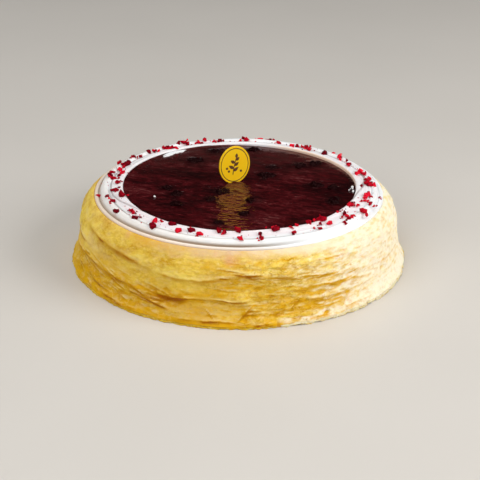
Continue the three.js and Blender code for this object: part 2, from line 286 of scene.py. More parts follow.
stack = {
    "steps": 760, "sideRows": 124, "topCrepe": 44.5, "topRadius": 96.2, "rimTilt": 0.2,
    "shoulderDrawnIn": 0.5, "foldSink": 1.0, "hemHeight": 4.0, "reach": 114.6, "reachDrift": 0.5,
    "reachSide": 315, "footDrawnIn": 1.3,
    # side of the stack, radius and height from the plate to the rim of the top crepe
    "outline": [
        (114.4, 0), (114.7, 1.4), (112.6, 3.9), (110.8, 8.5), (109.5, 14), (108.5, 20), (107.9, 27),
        (107.1, 32.5), (105.6, 37.6), (103.1, 41.8), (100.4, 44.9), (98.0, 46.4), (96.5, 45.6),
    ],
    # how often a wave runs round, how far it swings and where it starts: of the side and of the hem
    "swell": [(3, 0.35, 0.4), (7, 0.25, 2.1), (13, 0.15, 1.3)],
    "fray": [(11, 0.45, 0.9), (23, 0.35, 2.6), (37, 0.3, 0.2)],
    # noise on the side: how much flatter than wide, size, seed and octaves
    "noises": {"slow": (1.6, 30, 1, 2), "middle": (2.0, 11, 2, 3), "fine": (1.8, 3.6, 3, 2),
               "flecks": (2.7, 5.4, 7, 4), "grain": (1.0, 1.5, 5, 1)},
    # how far the noise moves a fold up and down, and how deep it is pressed into the side
    "jitter": (1.1, 0.8, 0.45), "softFold": 1.0, "skin": 0.17,
    # crepe edges folded down: start and end angle, heights of the edge, how proud, how far the
    # swelling reaches up, how quickly it falls away below
    "folds": [
        (196, 245, (39, 36.5, 29.5), 2.0, 8, 2.4), (238, 272, (30.5, 27, 33), 1.3, 6, 1.5),
        (267, 293, (34, 33.5, 29), 1.6, 5, 1.1), (282, 324, (30.5, 31, 22.5), 1.4, 4.5, 0.8),
        (184, 246, (21, 17.5, 15), 1.7, 6, 2.0), (242, 276, (14.5, 20, 16.5), 2.1, 5, 0.5),
        (286, 323, (22, 23.5, 17.5), 1.8, 4.5, 0.7), (229, 250, (13, 12.5, 6), 1.5, 4, 0.5),
        (269.5, 275.5, (3, 8.5, 15), 0.6, 3, 0.7), (284, 346, (14.5, 15.5, 11), 1.1, 5, 0.8),
        (193, 222, (11, 7, 8), 1.3, 4, 0.9), (300, 345, (38.5, 38, 36), 0.8, 4, 1.2),
        (316, 374, (34.5, 29, 27), 1.2, 7, 1.4), (322, 376, (21.5, 19, 20), 1.4, 6, 1.1),
        (203, 238, (3.4, 4.6, 2.6), 1.1, 3, 0.6), (246, 285, (3.0, 6.4, 2.4), 1.4, 3, 0.6),
        (290, 352, (3.6, 5.6, 4.4), 1.0, 3, 0.6),
    ],
    # the back repeats the front's folds, creases and patches, turned this far
    "hiddenFoldTurn": 163,
    # share of a fold's length over which it dies away, how much and over what length it wavers, how
    # it falls away below, depth, distance and width of the hollow under it, and how far it laps down
    "foldEnds": 0.22, "waver": 1.3, "waverLength": 15, "fall": (0.7, 0.9), "hollow": (0.25, 1.3, 1.2),
    "lap": 0.2,
    # short creases: how many, between which angles and heights, half length in degrees, slope in mm
    # for each degree, and strength
    "creaseSeed": 23, "creaseDepth": 0.3, "lipHeight": 0.12,
    "creases": [
        (64, (262, 345), (7, 41), (2, 9), -0.09, 1.0), (26, (272, 312), (8, 34), (1.5, 5), -0.06, 1.0),
        (34, (188, 246), (3, 22), (1.5, 7), -0.3, 1.0), (10, (240, 270), (4, 30), (2, 5), -0.1, 0.5),
    ],
    # creases of their own place: middle angle, height, half length in degrees, slope, depth, width
    "markedCreases": [
        (272.5, 9.6, 2.8, 1.87, 1.2, 0.95), (260.9, 8.0, 1.8, -1.6, 0.9, 0.6),
        (275.5, 30.4, 4.4, -0.63, 0.75, 0.6), (281.6, 28.0, 1.5, -1.55, 1.1, 0.8),
        (281.2, 33.6, 3.0, -0.22, 0.65, 0.55), (289.2, 12.5, 2.4, 1.8, 1.2, 1.0),
        (238.3, 12.4, 8.2, -0.57, 1.0, 0.6), (225.6, 12.6, 4.0, -0.47, 0.8, 0.6),
        (303, 22.2, 14, -0.06, 1.0, 0.7), (301, 28.6, 12, -0.15, 0.9, 0.6), (302, 38.1, 8, -0.03, 0.7, 0.6),
        (331.3, 21.0, 3.4, -1.26, 0.45, 0.8), (342.4, 19.6, 5, 0.23, 0.4, 0.7),
    ],
    # hollows pressed in under a fold, which also take painted shade, and browner and more beige patches, of
    # which the browner one at 247.5 under the overhang is a painted shadow: angle, height, half length in
    # degrees, half height, and depth or strength
    "dents": [(247.5, 14.2, 5.5, 2.0, 1.3), (214, 34.8, 2.4, 1.3, 0.6), (226, 32.5, 10, 2.6, 0.35),
              (283, 1.6, 0.5, 2.0, 1.2)],
    "brownPatches": [
        (193, 15, 5, 3, 0.9), (211, 10.5, 8, 2.6, 1.0), (200, 6, 5, 1.6, 0.6), (231, 16.5, 10, 1.6, 0.8),
        (247.5, 14.2, 6.5, 2.2, 1.2), (302, 10, 19, 2.6, 0.55), (272.4, 8.5, 0.9, 4.5, 0.9),
        (289, 14.5, 4, 3, 0.6), (296, 17.6, 9, 0.9, 0.5), (300, 22.5, 12, 1.2, 0.4), (262, 20, 8, 1.2, 0.5),
        (298, 29.5, 9, 1.2, 0.6), (272, 26, 7, 2.0, 0.5), (236, 11, 8, 1.8, 0.7), (222, 37, 12, 2.5, 0.3),
        (331, 19, 7, 2.0, 0.7), (268, 37, 10, 1.6, 0.3), (308, 35, 9, 0.8, 0.5), (284, 40.5, 16, 1.0, 0.45),
        (258, 3.2, 14, 1.0, 0.9), (259, 38, 13, 5.5, 0.3), (262, 8, 14, 5, 0.2), (215, 5, 25, 4, 0.4),
    ],
    "beigePatches": [(258, 9, 10, 5, 0.45), (208, 27, 12, 5, 0.35)],
    # faint berry juice on the side: angle, height, size and strength
    "juice": [(267, 42, 3.2, 0.5), (226, 45.6, 2.6, 0.4), (262, 44.6, 2.0, 0.35), (309.5, 39.5, 0.6, 0.6)],
    # stretches of the side: where each starts, is full, ebbs and ends
    "zones": {
        "crumpledRight": (252, 282, 340, 360), "crumpledLeft": (180, 196, 232, 262),
        "inFront": (225, 250, 270, 300), "frontRight": (276, 300, 340, 360), "calm": (262, 292, 340, 360),
        "paleHem": (281, 286, 350, 356), "leftShoulder": (205, 230, 243, 268),
    },
    # the side painted paler, as lit by the strongest lamp, and how far round that painted light reaches, as
    # cosines
    "sunnySide": 345, "sunnyReach": (0.52, 1.0),
    # tints: the most that each may reach, and how much each cause of it weighs
    "tints": {
        # the brown: folds and creases are painted shade lines under fold edges and in creases, and lips take
        # less of it as a painted highlight; the rest is the crepe's own browning, with a painted shadow
        # among the patches
        "browning": (1.0, {
            "patches": 1.0, "leftShoulder": 0.45, "clouds": 0.3, "foot": 0.75, "flecks": 0.9, "low": 0.36,
            "lowLeft": 0.06, "lips": -0.6, "folds": 0.6, "creases": 0.95}),
        # the paleness: fold highlights and the lips above creases are painted highlights; clouds, flecks,
        # foot, front right and specks are the crepe's own paler tone
        "paleness": (0.9, {
            "clouds": 0.2, "ridges": 0.5, "lips": 0.6, "flecks": 0.18, "foot": 0.4, "frontRight": 0.4,
            "specks": 0.5}),
        # the pale tint: painted light on the lit side and its flecks, and on fold highlights there, with the
        # crepe's own pallor on the shoulder, flecks and hem
        "bleach": (0.95, {
            "sun": 0.78, "sunFlecks": 0.5, "shoulder": 0.06, "rightShoulder": 0.54, "ridges": 0.25,
            "flecks": 0.4, "frontRight": 0.1, "hem": 0.7}),
        # painted shade in folds, creases and dents, and along the crepe's rim under the cream's lip
        "crease": (0.85, {"folds": 0.85, "creases": 0.75, "dents": 0.95, "rim": 0.6}),
        "blush": (0.8, {"shoulder": 0.12, "rightShoulder": 0.08}),
        "roughness": (1.0, {"all": 0.4, "crumpled": 0.6}),
        "beige": (0.8, {"shoulder": 0.7, "flecks": 0.5, "patches": 1.0}),
    },
}


def arcNoise(degrees, height, size, seed):
    # noise that runs round the side, for what changes along a fold
    turn = np.radians(degrees)
    return roughField(onCircle(110, turn, height * 0.2), size, seed, 2)


def foldRelief(degrees, height, jitter):
    # how far folded edges stand out, how far they lap down, the painted shade just under each fold's edge,
    # and the painted highlight just above it
    relief, lap, shade, ridge = [np.zeros_like(height) for _ in range(4)]
    hollowDepth, hollowBelow, hollowWidth = stack["hollow"]
    for turn in (0, stack["hiddenFoldTurn"]):
        for number, (start, end, rise, proud, reach, drop) in enumerate(stack["folds"]):
            along = np.mod(degrees + turn - start + 720, 360) / (end - start)
            near = along <= 1
            edge = rise[0] * (1 - along) ** 2 + 2 * rise[1] * along * (1 - along) + rise[2] * along ** 2
            above = (height - edge - jitter)[near]
            ends = (fade(along, 0, stack["foldEnds"]) * fade(1 - along, 0, stack["foldEnds"]))[near]
            # sharp edges waver more than soft ones
            waver = arcNoise(degrees[near], height[near], stack["waverLength"], 60 + number)
            uneven = np.clip(0.8 + stack["waver"] / max(drop, 0.8) ** 1.3 * waver, 0.15, 1.3)
            fall = stack["fall"][0] + stack["fall"][1] * drop
            rounding = 0.35 * fall
            soft = np.sqrt(above ** 2 + rounding ** 2) - rounding
            share = np.exp(-soft / np.where(above > 0, reach, fall))
            hollow = hollowDepth * bell(above + hollowBelow + fall, hollowWidth + fall)
            relief[near] += proud * (share - hollow) * ends * (0.55 + 0.45 * uneven)
            lap[near] += stack["lap"] * proud * ends * uneven * bell(above - 0.9, 1.0) * max(1.2 - drop, 0)
            # painted shade just under the edge, painted highlight just above it
            width = np.where(above > -0.4, 0.25 + 0.35 * drop, 0.9 + 0.9 * drop)
            dark = ends * uneven * min(1.0, proud / 1.5) / (0.8 + 0.2 * drop) * bell(above + 0.4, width)
            shade[near] = np.maximum(shade[near], dark)
            light = ends * uneven / max(drop, 1.0) * bell(above - 0.55 - drop * 0.4, 0.4 + 0.4 * drop)
            ridge[near] = np.maximum(ridge[near], light)
    return relief, lap, shade, ridge


def patchShare(at, patches, warp):
    # the strongest of a list of soft patches: angle, height, half length in degrees, half height, strength
    share = np.zeros_like(at.height)
    for turn in (0, stack["hiddenFoldTurn"]):
        for place, up, wide, high, strength in patches:
            across = (np.mod(at.degrees + turn - place + 180, 360) - 180) / wide
            away = np.hypot(across, (at.height - up) / high) * (1 + warp)
            share = np.maximum(share, strength * np.exp(-away ** 2))
    return share


def shortCreases(degrees, height, jitter):
    # many short creases, level at the front right and slanting low down at the left:
    # how deep each point lies in one, and how near it is to the lip above one
    draw = seededDraw(stack["creaseSeed"])
    creases = list(stack["markedCreases"])
    for count, (firstTurn, lastTurn), (low, high), (shortest, longest), slope, strength in stack["creases"]:
        for _ in range(count):
            middle = firstTurn + (lastTurn - firstTurn) * next(draw)
            up = low + (high - low) * next(draw)
            half = shortest + (longest - shortest) * next(draw) ** 2
            lean = slope * (0.4 + 1.2 * next(draw))
            deep = strength * (0.35 + 0.65 * next(draw))
            creases.append((middle, up, half, lean, deep, 0.3 + 0.35 * next(draw)))
    depth, lip = np.zeros_like(height), np.zeros_like(height)
    for middle, up, half, lean, deep, width in creases:
        for turn in (0, stack["hiddenFoldTurn"]):
            across = np.mod(degrees + turn - middle + 180, 360) - 180
            near = np.abs(across) < half
            above = height[near] - up - lean * across[near] - jitter[near]
            ends = 1 - (across[near] / half) ** 2
            depth[near] = np.maximum(depth[near], deep * ends * bell(above, width))
            lip[near] = np.maximum(lip[near], deep * ends * bell(above - 0.95, 0.6))
    return depth, lip


def crepeMaterial():
    # Thin fried batter, pressed soft: golden, pale where it is thin or dry, with painted light on its lit
    # side, painted highlights along fold edges and painted amber shade in its creases.
    material, tree, shader = newMaterial(
        "crepe, thin pan-fried batter", Roughness=0.6, IOR=1.42, Subsurface_Weight=0.45,
        Subsurface_Scale=0.0025, Subsurface_Radius=(1.0, 0.72, 0.25), Specular_IOR_Level=0.1)
    place = addNode(tree, "ShaderNodeTexCoord").outputs["Object"]
    flatter = addNode(tree, "ShaderNodeMapping", {"Vector": place, "Scale": (1.0, 1.0, 1.9)})
    known = {name: addNode(tree, "ShaderNodeAttribute", attribute_name=name).outputs["Fac"]
             for name in stack["tints"]}
    # the pan leaves clouds of 22 mm, spots of 9 mm, flat streaks of 3 mm and grains of 1.4 mm;
    # crinkles are thin wavy lines 9 mm long, where the skin has been pressed together
    for name, vector, scale, detail, roughness, distortion in (
            ("cloud", flatter, 45.0, 3.0, 0.5, 0.0), ("mottle", flatter, 110.0, 3.0, 0.5, 0.0),
            ("streak", flatter, 330.0, 4.0, 0.7, 0.0), ("grain", place, 700.0, 2.0, 0.5, 0.0),
            ("crinkle", flatter, 115.0, 4.0, 0.6, 0.5)):
        known[name] = addNode(tree, "ShaderNodeTexNoise", {
            "Vector": vector, "Scale": scale, "Detail": detail, "Roughness": roughness,
            "Distortion": distortion}).outputs["Fac"]
    workOut(tree, known, [
        # how golden, with grains where the skin is rough
        ("clouds", "MULTIPLY", "cloud", 1.3), ("spots", "MULTIPLY_ADD", "mottle", 1.1, "clouds"),
        ("streaks", "MULTIPLY_ADD", "streak", 1.3, "spots"), ("grainShare", "SUBTRACT", "grain", 0.5),
        ("grainShown", "MULTIPLY", "grainShare", "roughness"),
        ("total", "MULTIPLY_ADD", "grainShown", 0.9, "streaks"), ("golden", "LINEAR", "total", 1.47, 2.17),
        # crinkles show where the skin is rough, broken up by the streaks: a line of painted shade with a
        # painted highlight on its brow
        ("skinShown", "LINEAR", "roughness", 0.35, 1.0), ("broken", "LINEAR", "streak", 0.4, 0.6),
        ("crinkled", "MULTIPLY", "skinShown", "broken"), ("fromLine", "SUBTRACT", "crinkle", 0.5),
        ("away", "ABSOLUTE", "fromLine"), ("line", "SMOOTHSTEP", "away", 0.0, 0.035, 1.0, 0.0),
        ("valley", "MULTIPLY", "line", "crinkled"), ("valleyDark", "MULTIPLY", "valley", 0.65),
        ("browStart", "LINEAR", "fromLine", 0.02, 0.06),
        ("browEnd", "LINEAR", "fromLine", 0.06, 0.1, 1.0, 0.0),
        ("browHere", "MULTIPLY", "browStart", "browEnd"), ("brow", "MULTIPLY", "browHere", "crinkled"),
        ("browLight", "MULTIPLY", "brow", 0.28),
        # relief of the skin: pores where it is rough, less the crinkles
        ("halfGrain", "MULTIPLY", "grain", 0.5), ("pores", "MULTIPLY_ADD", "streak", 0.8, "halfGrain"),
        ("skin", "MULTIPLY", "pores", "roughness"), ("relief", "MULTIPLY_ADD", "valley", -0.7, "skin"),
    ])
    # noise breaks up the soft edges of these tints, so that they end in blotches
    for name, tint, spread, strength, low, high in (
            # painted light on the lit side, together with the crepe's own pallor
            ("bleached", "bleach", "streak", 0.3, 0.02, 0.98),
            # the crepe's own brown, with painted shade lines under folds and in creases
            ("fried", "browning", "streak", 1.0, 0.1, 1.1), ("browned", "browning", "mottle", 1.0, 0.8, 1.6),
            # painted amber shade in creases
            ("folded", "crease", "streak", 0.6, 0.0, 0.95),
            ("foldedDeep", "crease", "streak", 0.3, 0.6, 0.95)):
        workOut(tree, known, [
            ("blotch", "MULTIPLY_ADD", spread, strength, -0.5 * strength),
            ("blotched", "ADD", tint, "blotch"), (name, "SMOOTHSTEP", "blotched", low, high)])
    colour = addNode(tree, "ShaderNodeMix", {
        0: known["golden"], 6: toLinear("c8960a"), 7: toLinear("f0d35c")}, data_type="RGBA")
    # painted tones among these: the folded tones are painted shade in creases, the valley tone painted shade
    # and the brow tone a painted highlight on crinkles, the fried and browned tones carry painted shade
    # lines, and the pale and bleached tones carry painted highlights and painted light
    for share, tone in (
            ("paleness", "f5e09a"), ("beige", "d8bc94"), ("bleached", "f7ecd0"), ("fried", "deaa10"),
            ("browned", "ba7c00"), ("folded", "b87a00"), ("foldedDeep", "a65c00"), ("browLight", "f8e4a4"),
            ("valleyDark", "cc9410"), ("blush", "e2a184")):
        colour = addNode(tree, "ShaderNodeMix", {
            0: known[share], 6: colour.outputs[2], 7: toLinear(tone)}, data_type="RGBA")
    tree.links.new(colour.outputs[2], shader.inputs["Base Color"])
    bump = addNode(tree, "ShaderNodeBump", {"Height": known["relief"], "Strength": 0.8, "Distance": 0.0008})
    tree.links.new(bump.outputs[0], shader.inputs["Normal"])
    return material


def withinReach(radius, angle):
    # eases radii off, so that none passes the widest crepe, which is at the front right
    reach = stack["reach"] + stack["reachDrift"] * facing(angle, stack["reachSide"])
    left = reach - radius
    return reach - (np.sqrt(left ** 2 + 0.4) + left) / 2


def sideFields():
    # the side as rows of points from the plate up to the rim, with the noise on it
    side, steps = splinePoints(stack["outline"], stack["sideRows"]), stack["steps"]
    at = SimpleNamespace(radius=np.repeat(side[:, 0], steps), height=np.repeat(side[:, 1], steps))
    at.turn = np.tile(np.linspace(0, fullTurn, steps, endpoint=False), len(side))
    at.degrees = np.degrees(at.turn)
    plain = onCircle(at.radius, at.turn, at.height)
    for name, (flatter, size, seed, octaves) in stack["noises"].items():
        setattr(at, name, roughField(plain * (1, 1, flatter), size, seed, octaves))
    at.jitter = sum(far * field for far, field in zip(stack["jitter"], (at.slow, at.middle, at.fine)))
    at.zone = {name: within(at.degrees, *angles) for name, angles in stack["zones"].items()}
    # the share of the side that takes painted light from the strongest lamp
    at.sunny = fade(facing(at.turn, stack["sunnySide"]), *stack["sunnyReach"])
    at.inHem = fade(stack["hemHeight"] - at.height, 0, stack["hemHeight"])
    # crumpled at the front right and low down at the left, less so behind, smooth elsewhere
    left = at.zone["crumpledLeft"] * fade(24 - at.height, 0, 8)
    behind = 0.6 * fade(np.sin(at.turn), -0.1, 0.2)
    at.crumpled = np.maximum(np.maximum(at.zone["crumpledRight"], left), behind)
    at.crumpled *= fade(46 - at.height, 0, 7) * (1 - 0.4 * at.sunny)
    at.creases, at.lips = shortCreases(at.degrees, at.height, at.jitter)
    at.dents = patchShare(at, stack["dents"], 0.6 * at.middle)
    at.relief, at.lap, at.shade, at.ridge = foldRelief(at.degrees, at.height, at.jitter)
    return at


def sideShape(at):
    # how far out and how high each point of the side lies
    onSide = fade(at.height, 0.5, 6) * fade(47 - at.height, 0, 9)
    swell, fray = wave(at.turn, stack["swell"]), wave(at.turn, stack["fray"])
    soft = stack["softFold"] * at.middle * (0.5 + 0.5 * at.crumpled)
    skin = stack["skin"] * (at.fine + 0.6 * at.grain) * (0.5 + at.crumpled)
    creases = (stack["lipHeight"] * at.lips - stack["creaseDepth"] * at.creases) * (1 - 0.5 * at.sunny)
    detail = soft + skin + creases - at.dents
    outward = at.radius + onSide * (at.relief * (1 - 0.65 * at.sunny) - stack["foldSink"] + swell + detail)
    outward += (1 - onSide) * stack["skin"] * (at.fine + 0.5 * at.grain)
    outward += at.inHem * (fray - 0.5 * np.abs(at.fine))
    outward = withinReach(outward, at.turn) - stack["footDrawnIn"] * at.inHem
    behind = fade(np.sin(at.turn), 0.1, 0.35) * fade(at.height, 32, 42)
    outward -= stack["shoulderDrawnIn"] * (at.radius - stack["outline"][-1][0]) * behind
    tilt = stack["rimTilt"] * np.sin(at.turn) * fade(at.height, 36, 47)
    return outward, np.maximum(at.height + tilt - at.lap * onSide * (1 - 0.5 * at.sunny), 0)


def sideTints(at):
    # how much of each tint every point of the side takes
    height, degrees, flecks, zone = at.height, at.degrees, at.flecks, at.zone
    # shadow: the side away from the painted light
    shadow = 1 - at.sunny
    shoulder = fade(height + 2.0 * at.middle + 1.2 * flecks, 39.8, 46.6)
    rightShoulder = fade(degrees, 248, 285) * shoulder * shadow
    low, aboveHem = fade(33 - height, 0, 12), fade(height, 5, 20)
    foot = bell(height - 2.2 - 1.2 * at.slow, 0.7) * (1 - 0.8 * zone["paleHem"])
    hem = fade(6.0 + 3.5 * fade(degrees, 284, 325) - height - 2 * at.middle, 0, 2.0)
    # the crepe's browner patches, one of them a painted shadow under the overhang
    brownPatches = patchShare(at, stack["brownPatches"], 0.9 * at.middle) * (1 + 0.7 * flecks)
    paleFlecks = at.crumpled * np.clip(-2 * flecks, 0, 1)
    specks = np.clip(-6 * at.fine * flecks - 0.1, 0, 0.5) * (1 - 0.6 * fade(242 - degrees, 0, 30))
    # painted shade on the crepe just under the cream's lip
    rim = fade(98.3 - at.radius, 0, 0.9) * fade(height, 44, 45.4)
    # the painted light on the lit side takes most of the skin's brown away but keeps most of the painted
    # shade lines of folds and creases; creases are softer at the front right
    skinKept, linesKept = 1 - 0.75 * at.sunny, 1 + 1.3 * at.sunny - 1.8 * at.sunny ** 2
    calm = 1 - 0.45 * zone["calm"]
    shares = {
        "browning": {
            "patches": brownPatches * skinKept, "leftShoulder": shoulder * zone["leftShoulder"] * skinKept,
            "clouds": np.clip(at.slow, 0, 1) * skinKept, "foot": foot * skinKept,
            "flecks": at.crumpled * np.clip(flecks, 0, 1) * skinKept, "low": low * skinKept,
            "lowLeft": fade(275 - degrees, 0, 20) * low * skinKept, "lips": at.lips * skinKept,
            "folds": np.clip(at.shade, 0, 1) * linesKept, "creases": at.creases * linesKept},
        "paleness": {
            "clouds": np.clip(-1.4 * at.middle, 0, 1), "ridges": at.ridge, "lips": at.lips,
            "flecks": paleFlecks, "foot": fade(1.3 - height, 0, 0.9), "specks": specks * shadow,
            "frontRight": zone["frontRight"] * (1 - at.sunny ** 2) * aboveHem * (0.6 - 0.8 * flecks)},
        "bleach": {
            "sun": at.sunny, "sunFlecks": at.sunny * np.clip(-flecks, -0.6, 0.6),
            "shoulder": shoulder * shadow, "rightShoulder": rightShoulder, "ridges": at.ridge * at.sunny,
            "flecks": np.clip(-flecks, 0, 1) * fade(degrees, 262, 300) * fade(46 - height, 0, 7),
            "frontRight": zone["frontRight"] * aboveHem * fade(335 - degrees, 0, 30),
            "hem": hem * zone["paleHem"]},
        "crease": {
            "folds": at.shade ** 1.1 * shadow * calm, "creases": at.creases * shadow * calm,
            "dents": at.dents * calm, "rim": rim * shadow * calm},
        "blush": {
            "shoulder": shoulder * shadow, "rightShoulder": fade(degrees, 250, 275) * shoulder * shadow},
        "roughness": {"all": np.ones_like(height), "crumpled": at.crumpled * (1 - 0.5 * at.sunny)},
        "beige": {
            "shoulder": shoulder * zone["inFront"], "flecks": paleFlecks * fade(285 - degrees, 0, 30),
            "patches": patchShare(at, stack["beigePatches"], 0.9 * at.middle)},
    }
    tints = {name: sum(weight * shares[name][cause] for cause, weight in weights.items())
             for name, (limit, weights) in stack["tints"].items()}
    for turn, up, size, strength in stack["juice"]:
        away = np.hypot(np.radians(degrees - turn) * 106, height - up) * (1 + 0.5 * at.middle)
        tints["blush"] = np.maximum(tints["blush"], strength * bell(away, size))
    return {name: np.clip(tints[name], 0, limit) for name, (limit, weights) in stack["tints"].items()}


def makeStack(material):
    at = sideFields()
    outward, level = sideShape(at)
    steps = stack["steps"]
    flat = onCircle(stack["topRadius"], at.turn[:steps], np.full(steps, stack["topCrepe"]))
    points = np.vstack([[(0, 0, 0)], onCircle(outward, at.turn, level), flat, [(0, 0, stack["topCrepe"])]])
    faces = turnedFaces(stack["sideRows"] + 4, steps)
    top = np.zeros(steps + 1)
    values = {name: np.concatenate([[0], tint, top]) for name, tint in sideTints(at).items()}
    piece = meshPiece("crepeStack", points, faces, material, **values)
    print("crepes are stacked and folded")
    settle(piece, ["crepe_cake"])
    return outward.reshape(-1, steps), level.reshape(-1, steps)


hem = {
    # thin ragged sheets that the lowest crepes end in round the foot: start, end, top row, how far
    # out, how torn and how pale
    "sheets": [
        (196, 283.0, 8, 0.9, 0.4, 0.0), (283.8, 352, 15, 1.0, 0.75, 0.6), (232, 268, 5, 1.4, 0.35, 0.0),
        (300, 331, 8, 1.6, 0.8, 0.6), (356, 434, 11, 1.0, 0.8, 0.0), (78, 139, 8, 0.9, 0.5, 0.0),
        (141, 194, 12, 1.1, 0.6, 0.0), (20, 60, 6, 1.5, 0.8, 0.0),
    ],
    "thickness": 0.5, "gap": 0.25, "tornMost": 2.2, "flareAtTop": 0.35, "sunk": 0.9, "tuckedIn": 1.2,
}


def makeHem(material, outward, level):
    steps = stack["steps"]
    for number, (start, end, topRow, out, torn, pale) in enumerate(hem["sheets"], 1):
        columns = np.arange(round(start / 360 * steps), round(end / 360 * steps)) % steps
        angle = columns / steps * fullTurn
        rim = onCircle(110, angle, np.full(len(angle), number * 9.0))
        ragged = 2.4 * roughField(rim, 5, 31, 3) + 2.0 * roughField(rim, 1.7, 32, 2)
        ragged = torn * np.clip(ragged, -0.3, hem["tornMost"]) + 0.1
        out = out * (1 + 1.1 * roughField(rim, 3.0, 33, 3)) + 0.5 * roughField(rim, 1.6, 34, 1)
        fromEnd = np.minimum(np.arange(len(angle)), len(angle) - 1 - np.arange(len(angle)))
        ends = fade(fromEnd + 1.0, 0, 8)
        share = np.linspace(0, 1, topRow + 1)[:, None]
        up = level[:topRow + 1][:, columns]
        far = outward[:topRow + 1][:, columns]
        far = far + stack["footDrawnIn"] * fade(stack["hemHeight"] - up, 0, stack["hemHeight"])
        # it flares out towards the plate, and its ends and its top are tucked in under the side
        flare = out * (hem["flareAtTop"] + (1 - hem["flareAtTop"]) * (1 - share) ** 1.5) - hem["sunk"]
        flare = flare * ends - hem["tuckedIn"] * share ** 6 - 0.8 * (1 - ends)
        skin = np.column_stack([np.tile(rim[:, :2], (topRow + 1, 1)), up.ravel()])
        flare += 0.4 * roughField(skin, 1.9, 36, 2).reshape(up.shape)
        scallops = np.clip(0.45 + 1.1 * roughField(rim, 2.6, 37, 2), 0, 1.5) * (0.3 + 0.7 * torn)
        outer = withinReach(far + flare + hem["gap"], angle) - scallops * (1 - share) ** 1.5
        height = np.maximum(up + ragged * (1 - share) ** 2, 0)
        loop = np.vstack([outer, (outer - hem["thickness"])[::-1]])
        loopHeight = np.vstack([height, (height + 0.1 * (1 - share))[::-1]])
        points = np.dstack([loop * np.cos(angle), loop * np.sin(angle), loopHeight]).reshape(-1, 3)
        rows, count = loop.shape
        starts = [row * count for row in range(rows)]
        faces = [(low + step, low + step + 1, high + step + 1, high + step)
                 for low, high in zip(starts, starts[1:] + starts[:1]) for step in range(count - 1)]
        faces.append(tuple(starts))
        faces.append(tuple(first + count - 1 for first in reversed(starts)))
        # how near the lower edge, and where that edge is paler
        tone = np.vstack([np.repeat(1 - share, count, 1), np.repeat((1 - share)[::-1], count, 1)]).ravel()
        edgePale = np.tile(np.clip(0.35 + 1.6 * roughField(rim, 6, 35, 3), 0, 1), rows)
        values = {name: np.zeros_like(tone) for name in stack["tints"]}
        values["browning"] = (1 - pale) * (0.3 + 1.3 * (1 - 0.8 * edgePale) * bell(tone - 0.7, 0.35))
        values["paleness"] = (0.08 + 0.7 * pale) * tone
        values["bleach"] = np.clip(pale + (0.35 + 0.2 * pale) * edgePale * tone ** 2.5, 0, 0.9)
        values["roughness"] += 1
        settle(meshPiece(f"hemSheet{number}", points, faces, material, **values), ["crepe_cake"])
    print("hem is frayed")


cream = {
    "steps": 600, "sectionPoints": 140, "curvePoints": 150, "rimRadius": 78.5, "width": 17.3, "crest": 51.6,
    "grooveDrift": 1.9, "grooveDriftAngle": 285, "wave": 0.25, "streakDepth": 0.8, "seed": 3.7,
    # how often a wave runs round, how far it swings and where it starts: of the inner wall and the top
    "rimWave": [(3, 0.3, 1.1), (5, 0.2, 0.3)],
    "topWave": [(2, 0.6, 0.5), (5, 0.5, 1.9), (9, 0.4, 0.7)],
    # heights between which the ring's side turns into its top
    "topStart": (46.0, 50.0),
    # a shallow groove that the spatula leaves round the back, from the glaze's edge and back to it:
    # the angles where it starts and how far it goes, how far out, and over what angle it bends out
    "strokeStart": 341, "strokeSpan": 242, "strokeIn": 0.4, "strokeOut": 8.0, "strokeBend": 36,
    "strokeDepth": 0.5, "strokeWidth": 0.7,
    # distance out and width of the groove inside the lip and of the one in the middle of the ring
    "lipGroove": (15.9, 0.8), "middleGroove": (9.75, 0.95),
    # where the cream's lip is smoothed onto the crepe: middle angle
    "blendedSide": 338,
    # where the crepe's painted warm bounce light on the lip is strongest, and where the inner wall is
    # painted as catching warm light
    "warmSide": 205, "warmWallSide": math.degrees(0.6),
    # offset out from the inner wall, and height
    "section": [
        (0, 44.8), (17.6, 44.8), (18.5, 45.5), (18.8, 46.3), (18.3, 47.0), (17.4, 47.4), (16.6, 47.3),
        (15.9, 46.5), (15.1, 47.6), (14.4, 49.6), (13.0, 50.8), (11.3, 51.1), (10.2, 50.7), (9.7, 49.9),
        (9.1, 50.5), (7.0, 50.6), (4.6, 50.9), (2.9, 51.4), (1.3, 51.6), (0.3, 51.1), (0, 50.0),
    ],
    # where the underside and the lip end and the top begins in that list
    "topFrom": 3,
}


def rimAt(angle):
    return cream["rimRadius"] + wave(angle, cream["rimWave"])


def creamPoint(offset, height, angle):
    # the same rule that the cream's node tree follows, for what lies on it
    fromLip = cream["width"] - offset
    inner = cream["rimRadius"] + (rimAt(angle) - cream["rimRadius"]) * fade(fromLip, 0, 9)
    pull = fade(offset, 2, 9) * fade(fromLip, 0, 6)
    drift = cream["grooveDrift"] * facing(angle, cream["grooveDriftAngle"]) * pull
    lift = fade(height, *cream["topStart"]) * cream["wave"] * wave(angle, cream["topWave"])
    out = inner + offset + drift
    return out * np.cos(angle), out * np.sin(angle), height + lift


def creamHeight(offset):
    section = cream["section"][cream["topFrom"]:]
    for (outer, outerHeight), (inner, innerHeight) in zip(section, section[1:]):
        if inner <= offset <= outer:
            return innerHeight + (outerHeight - innerHeight) * (offset - inner) / (outer - inner)
    return cream["crest"]


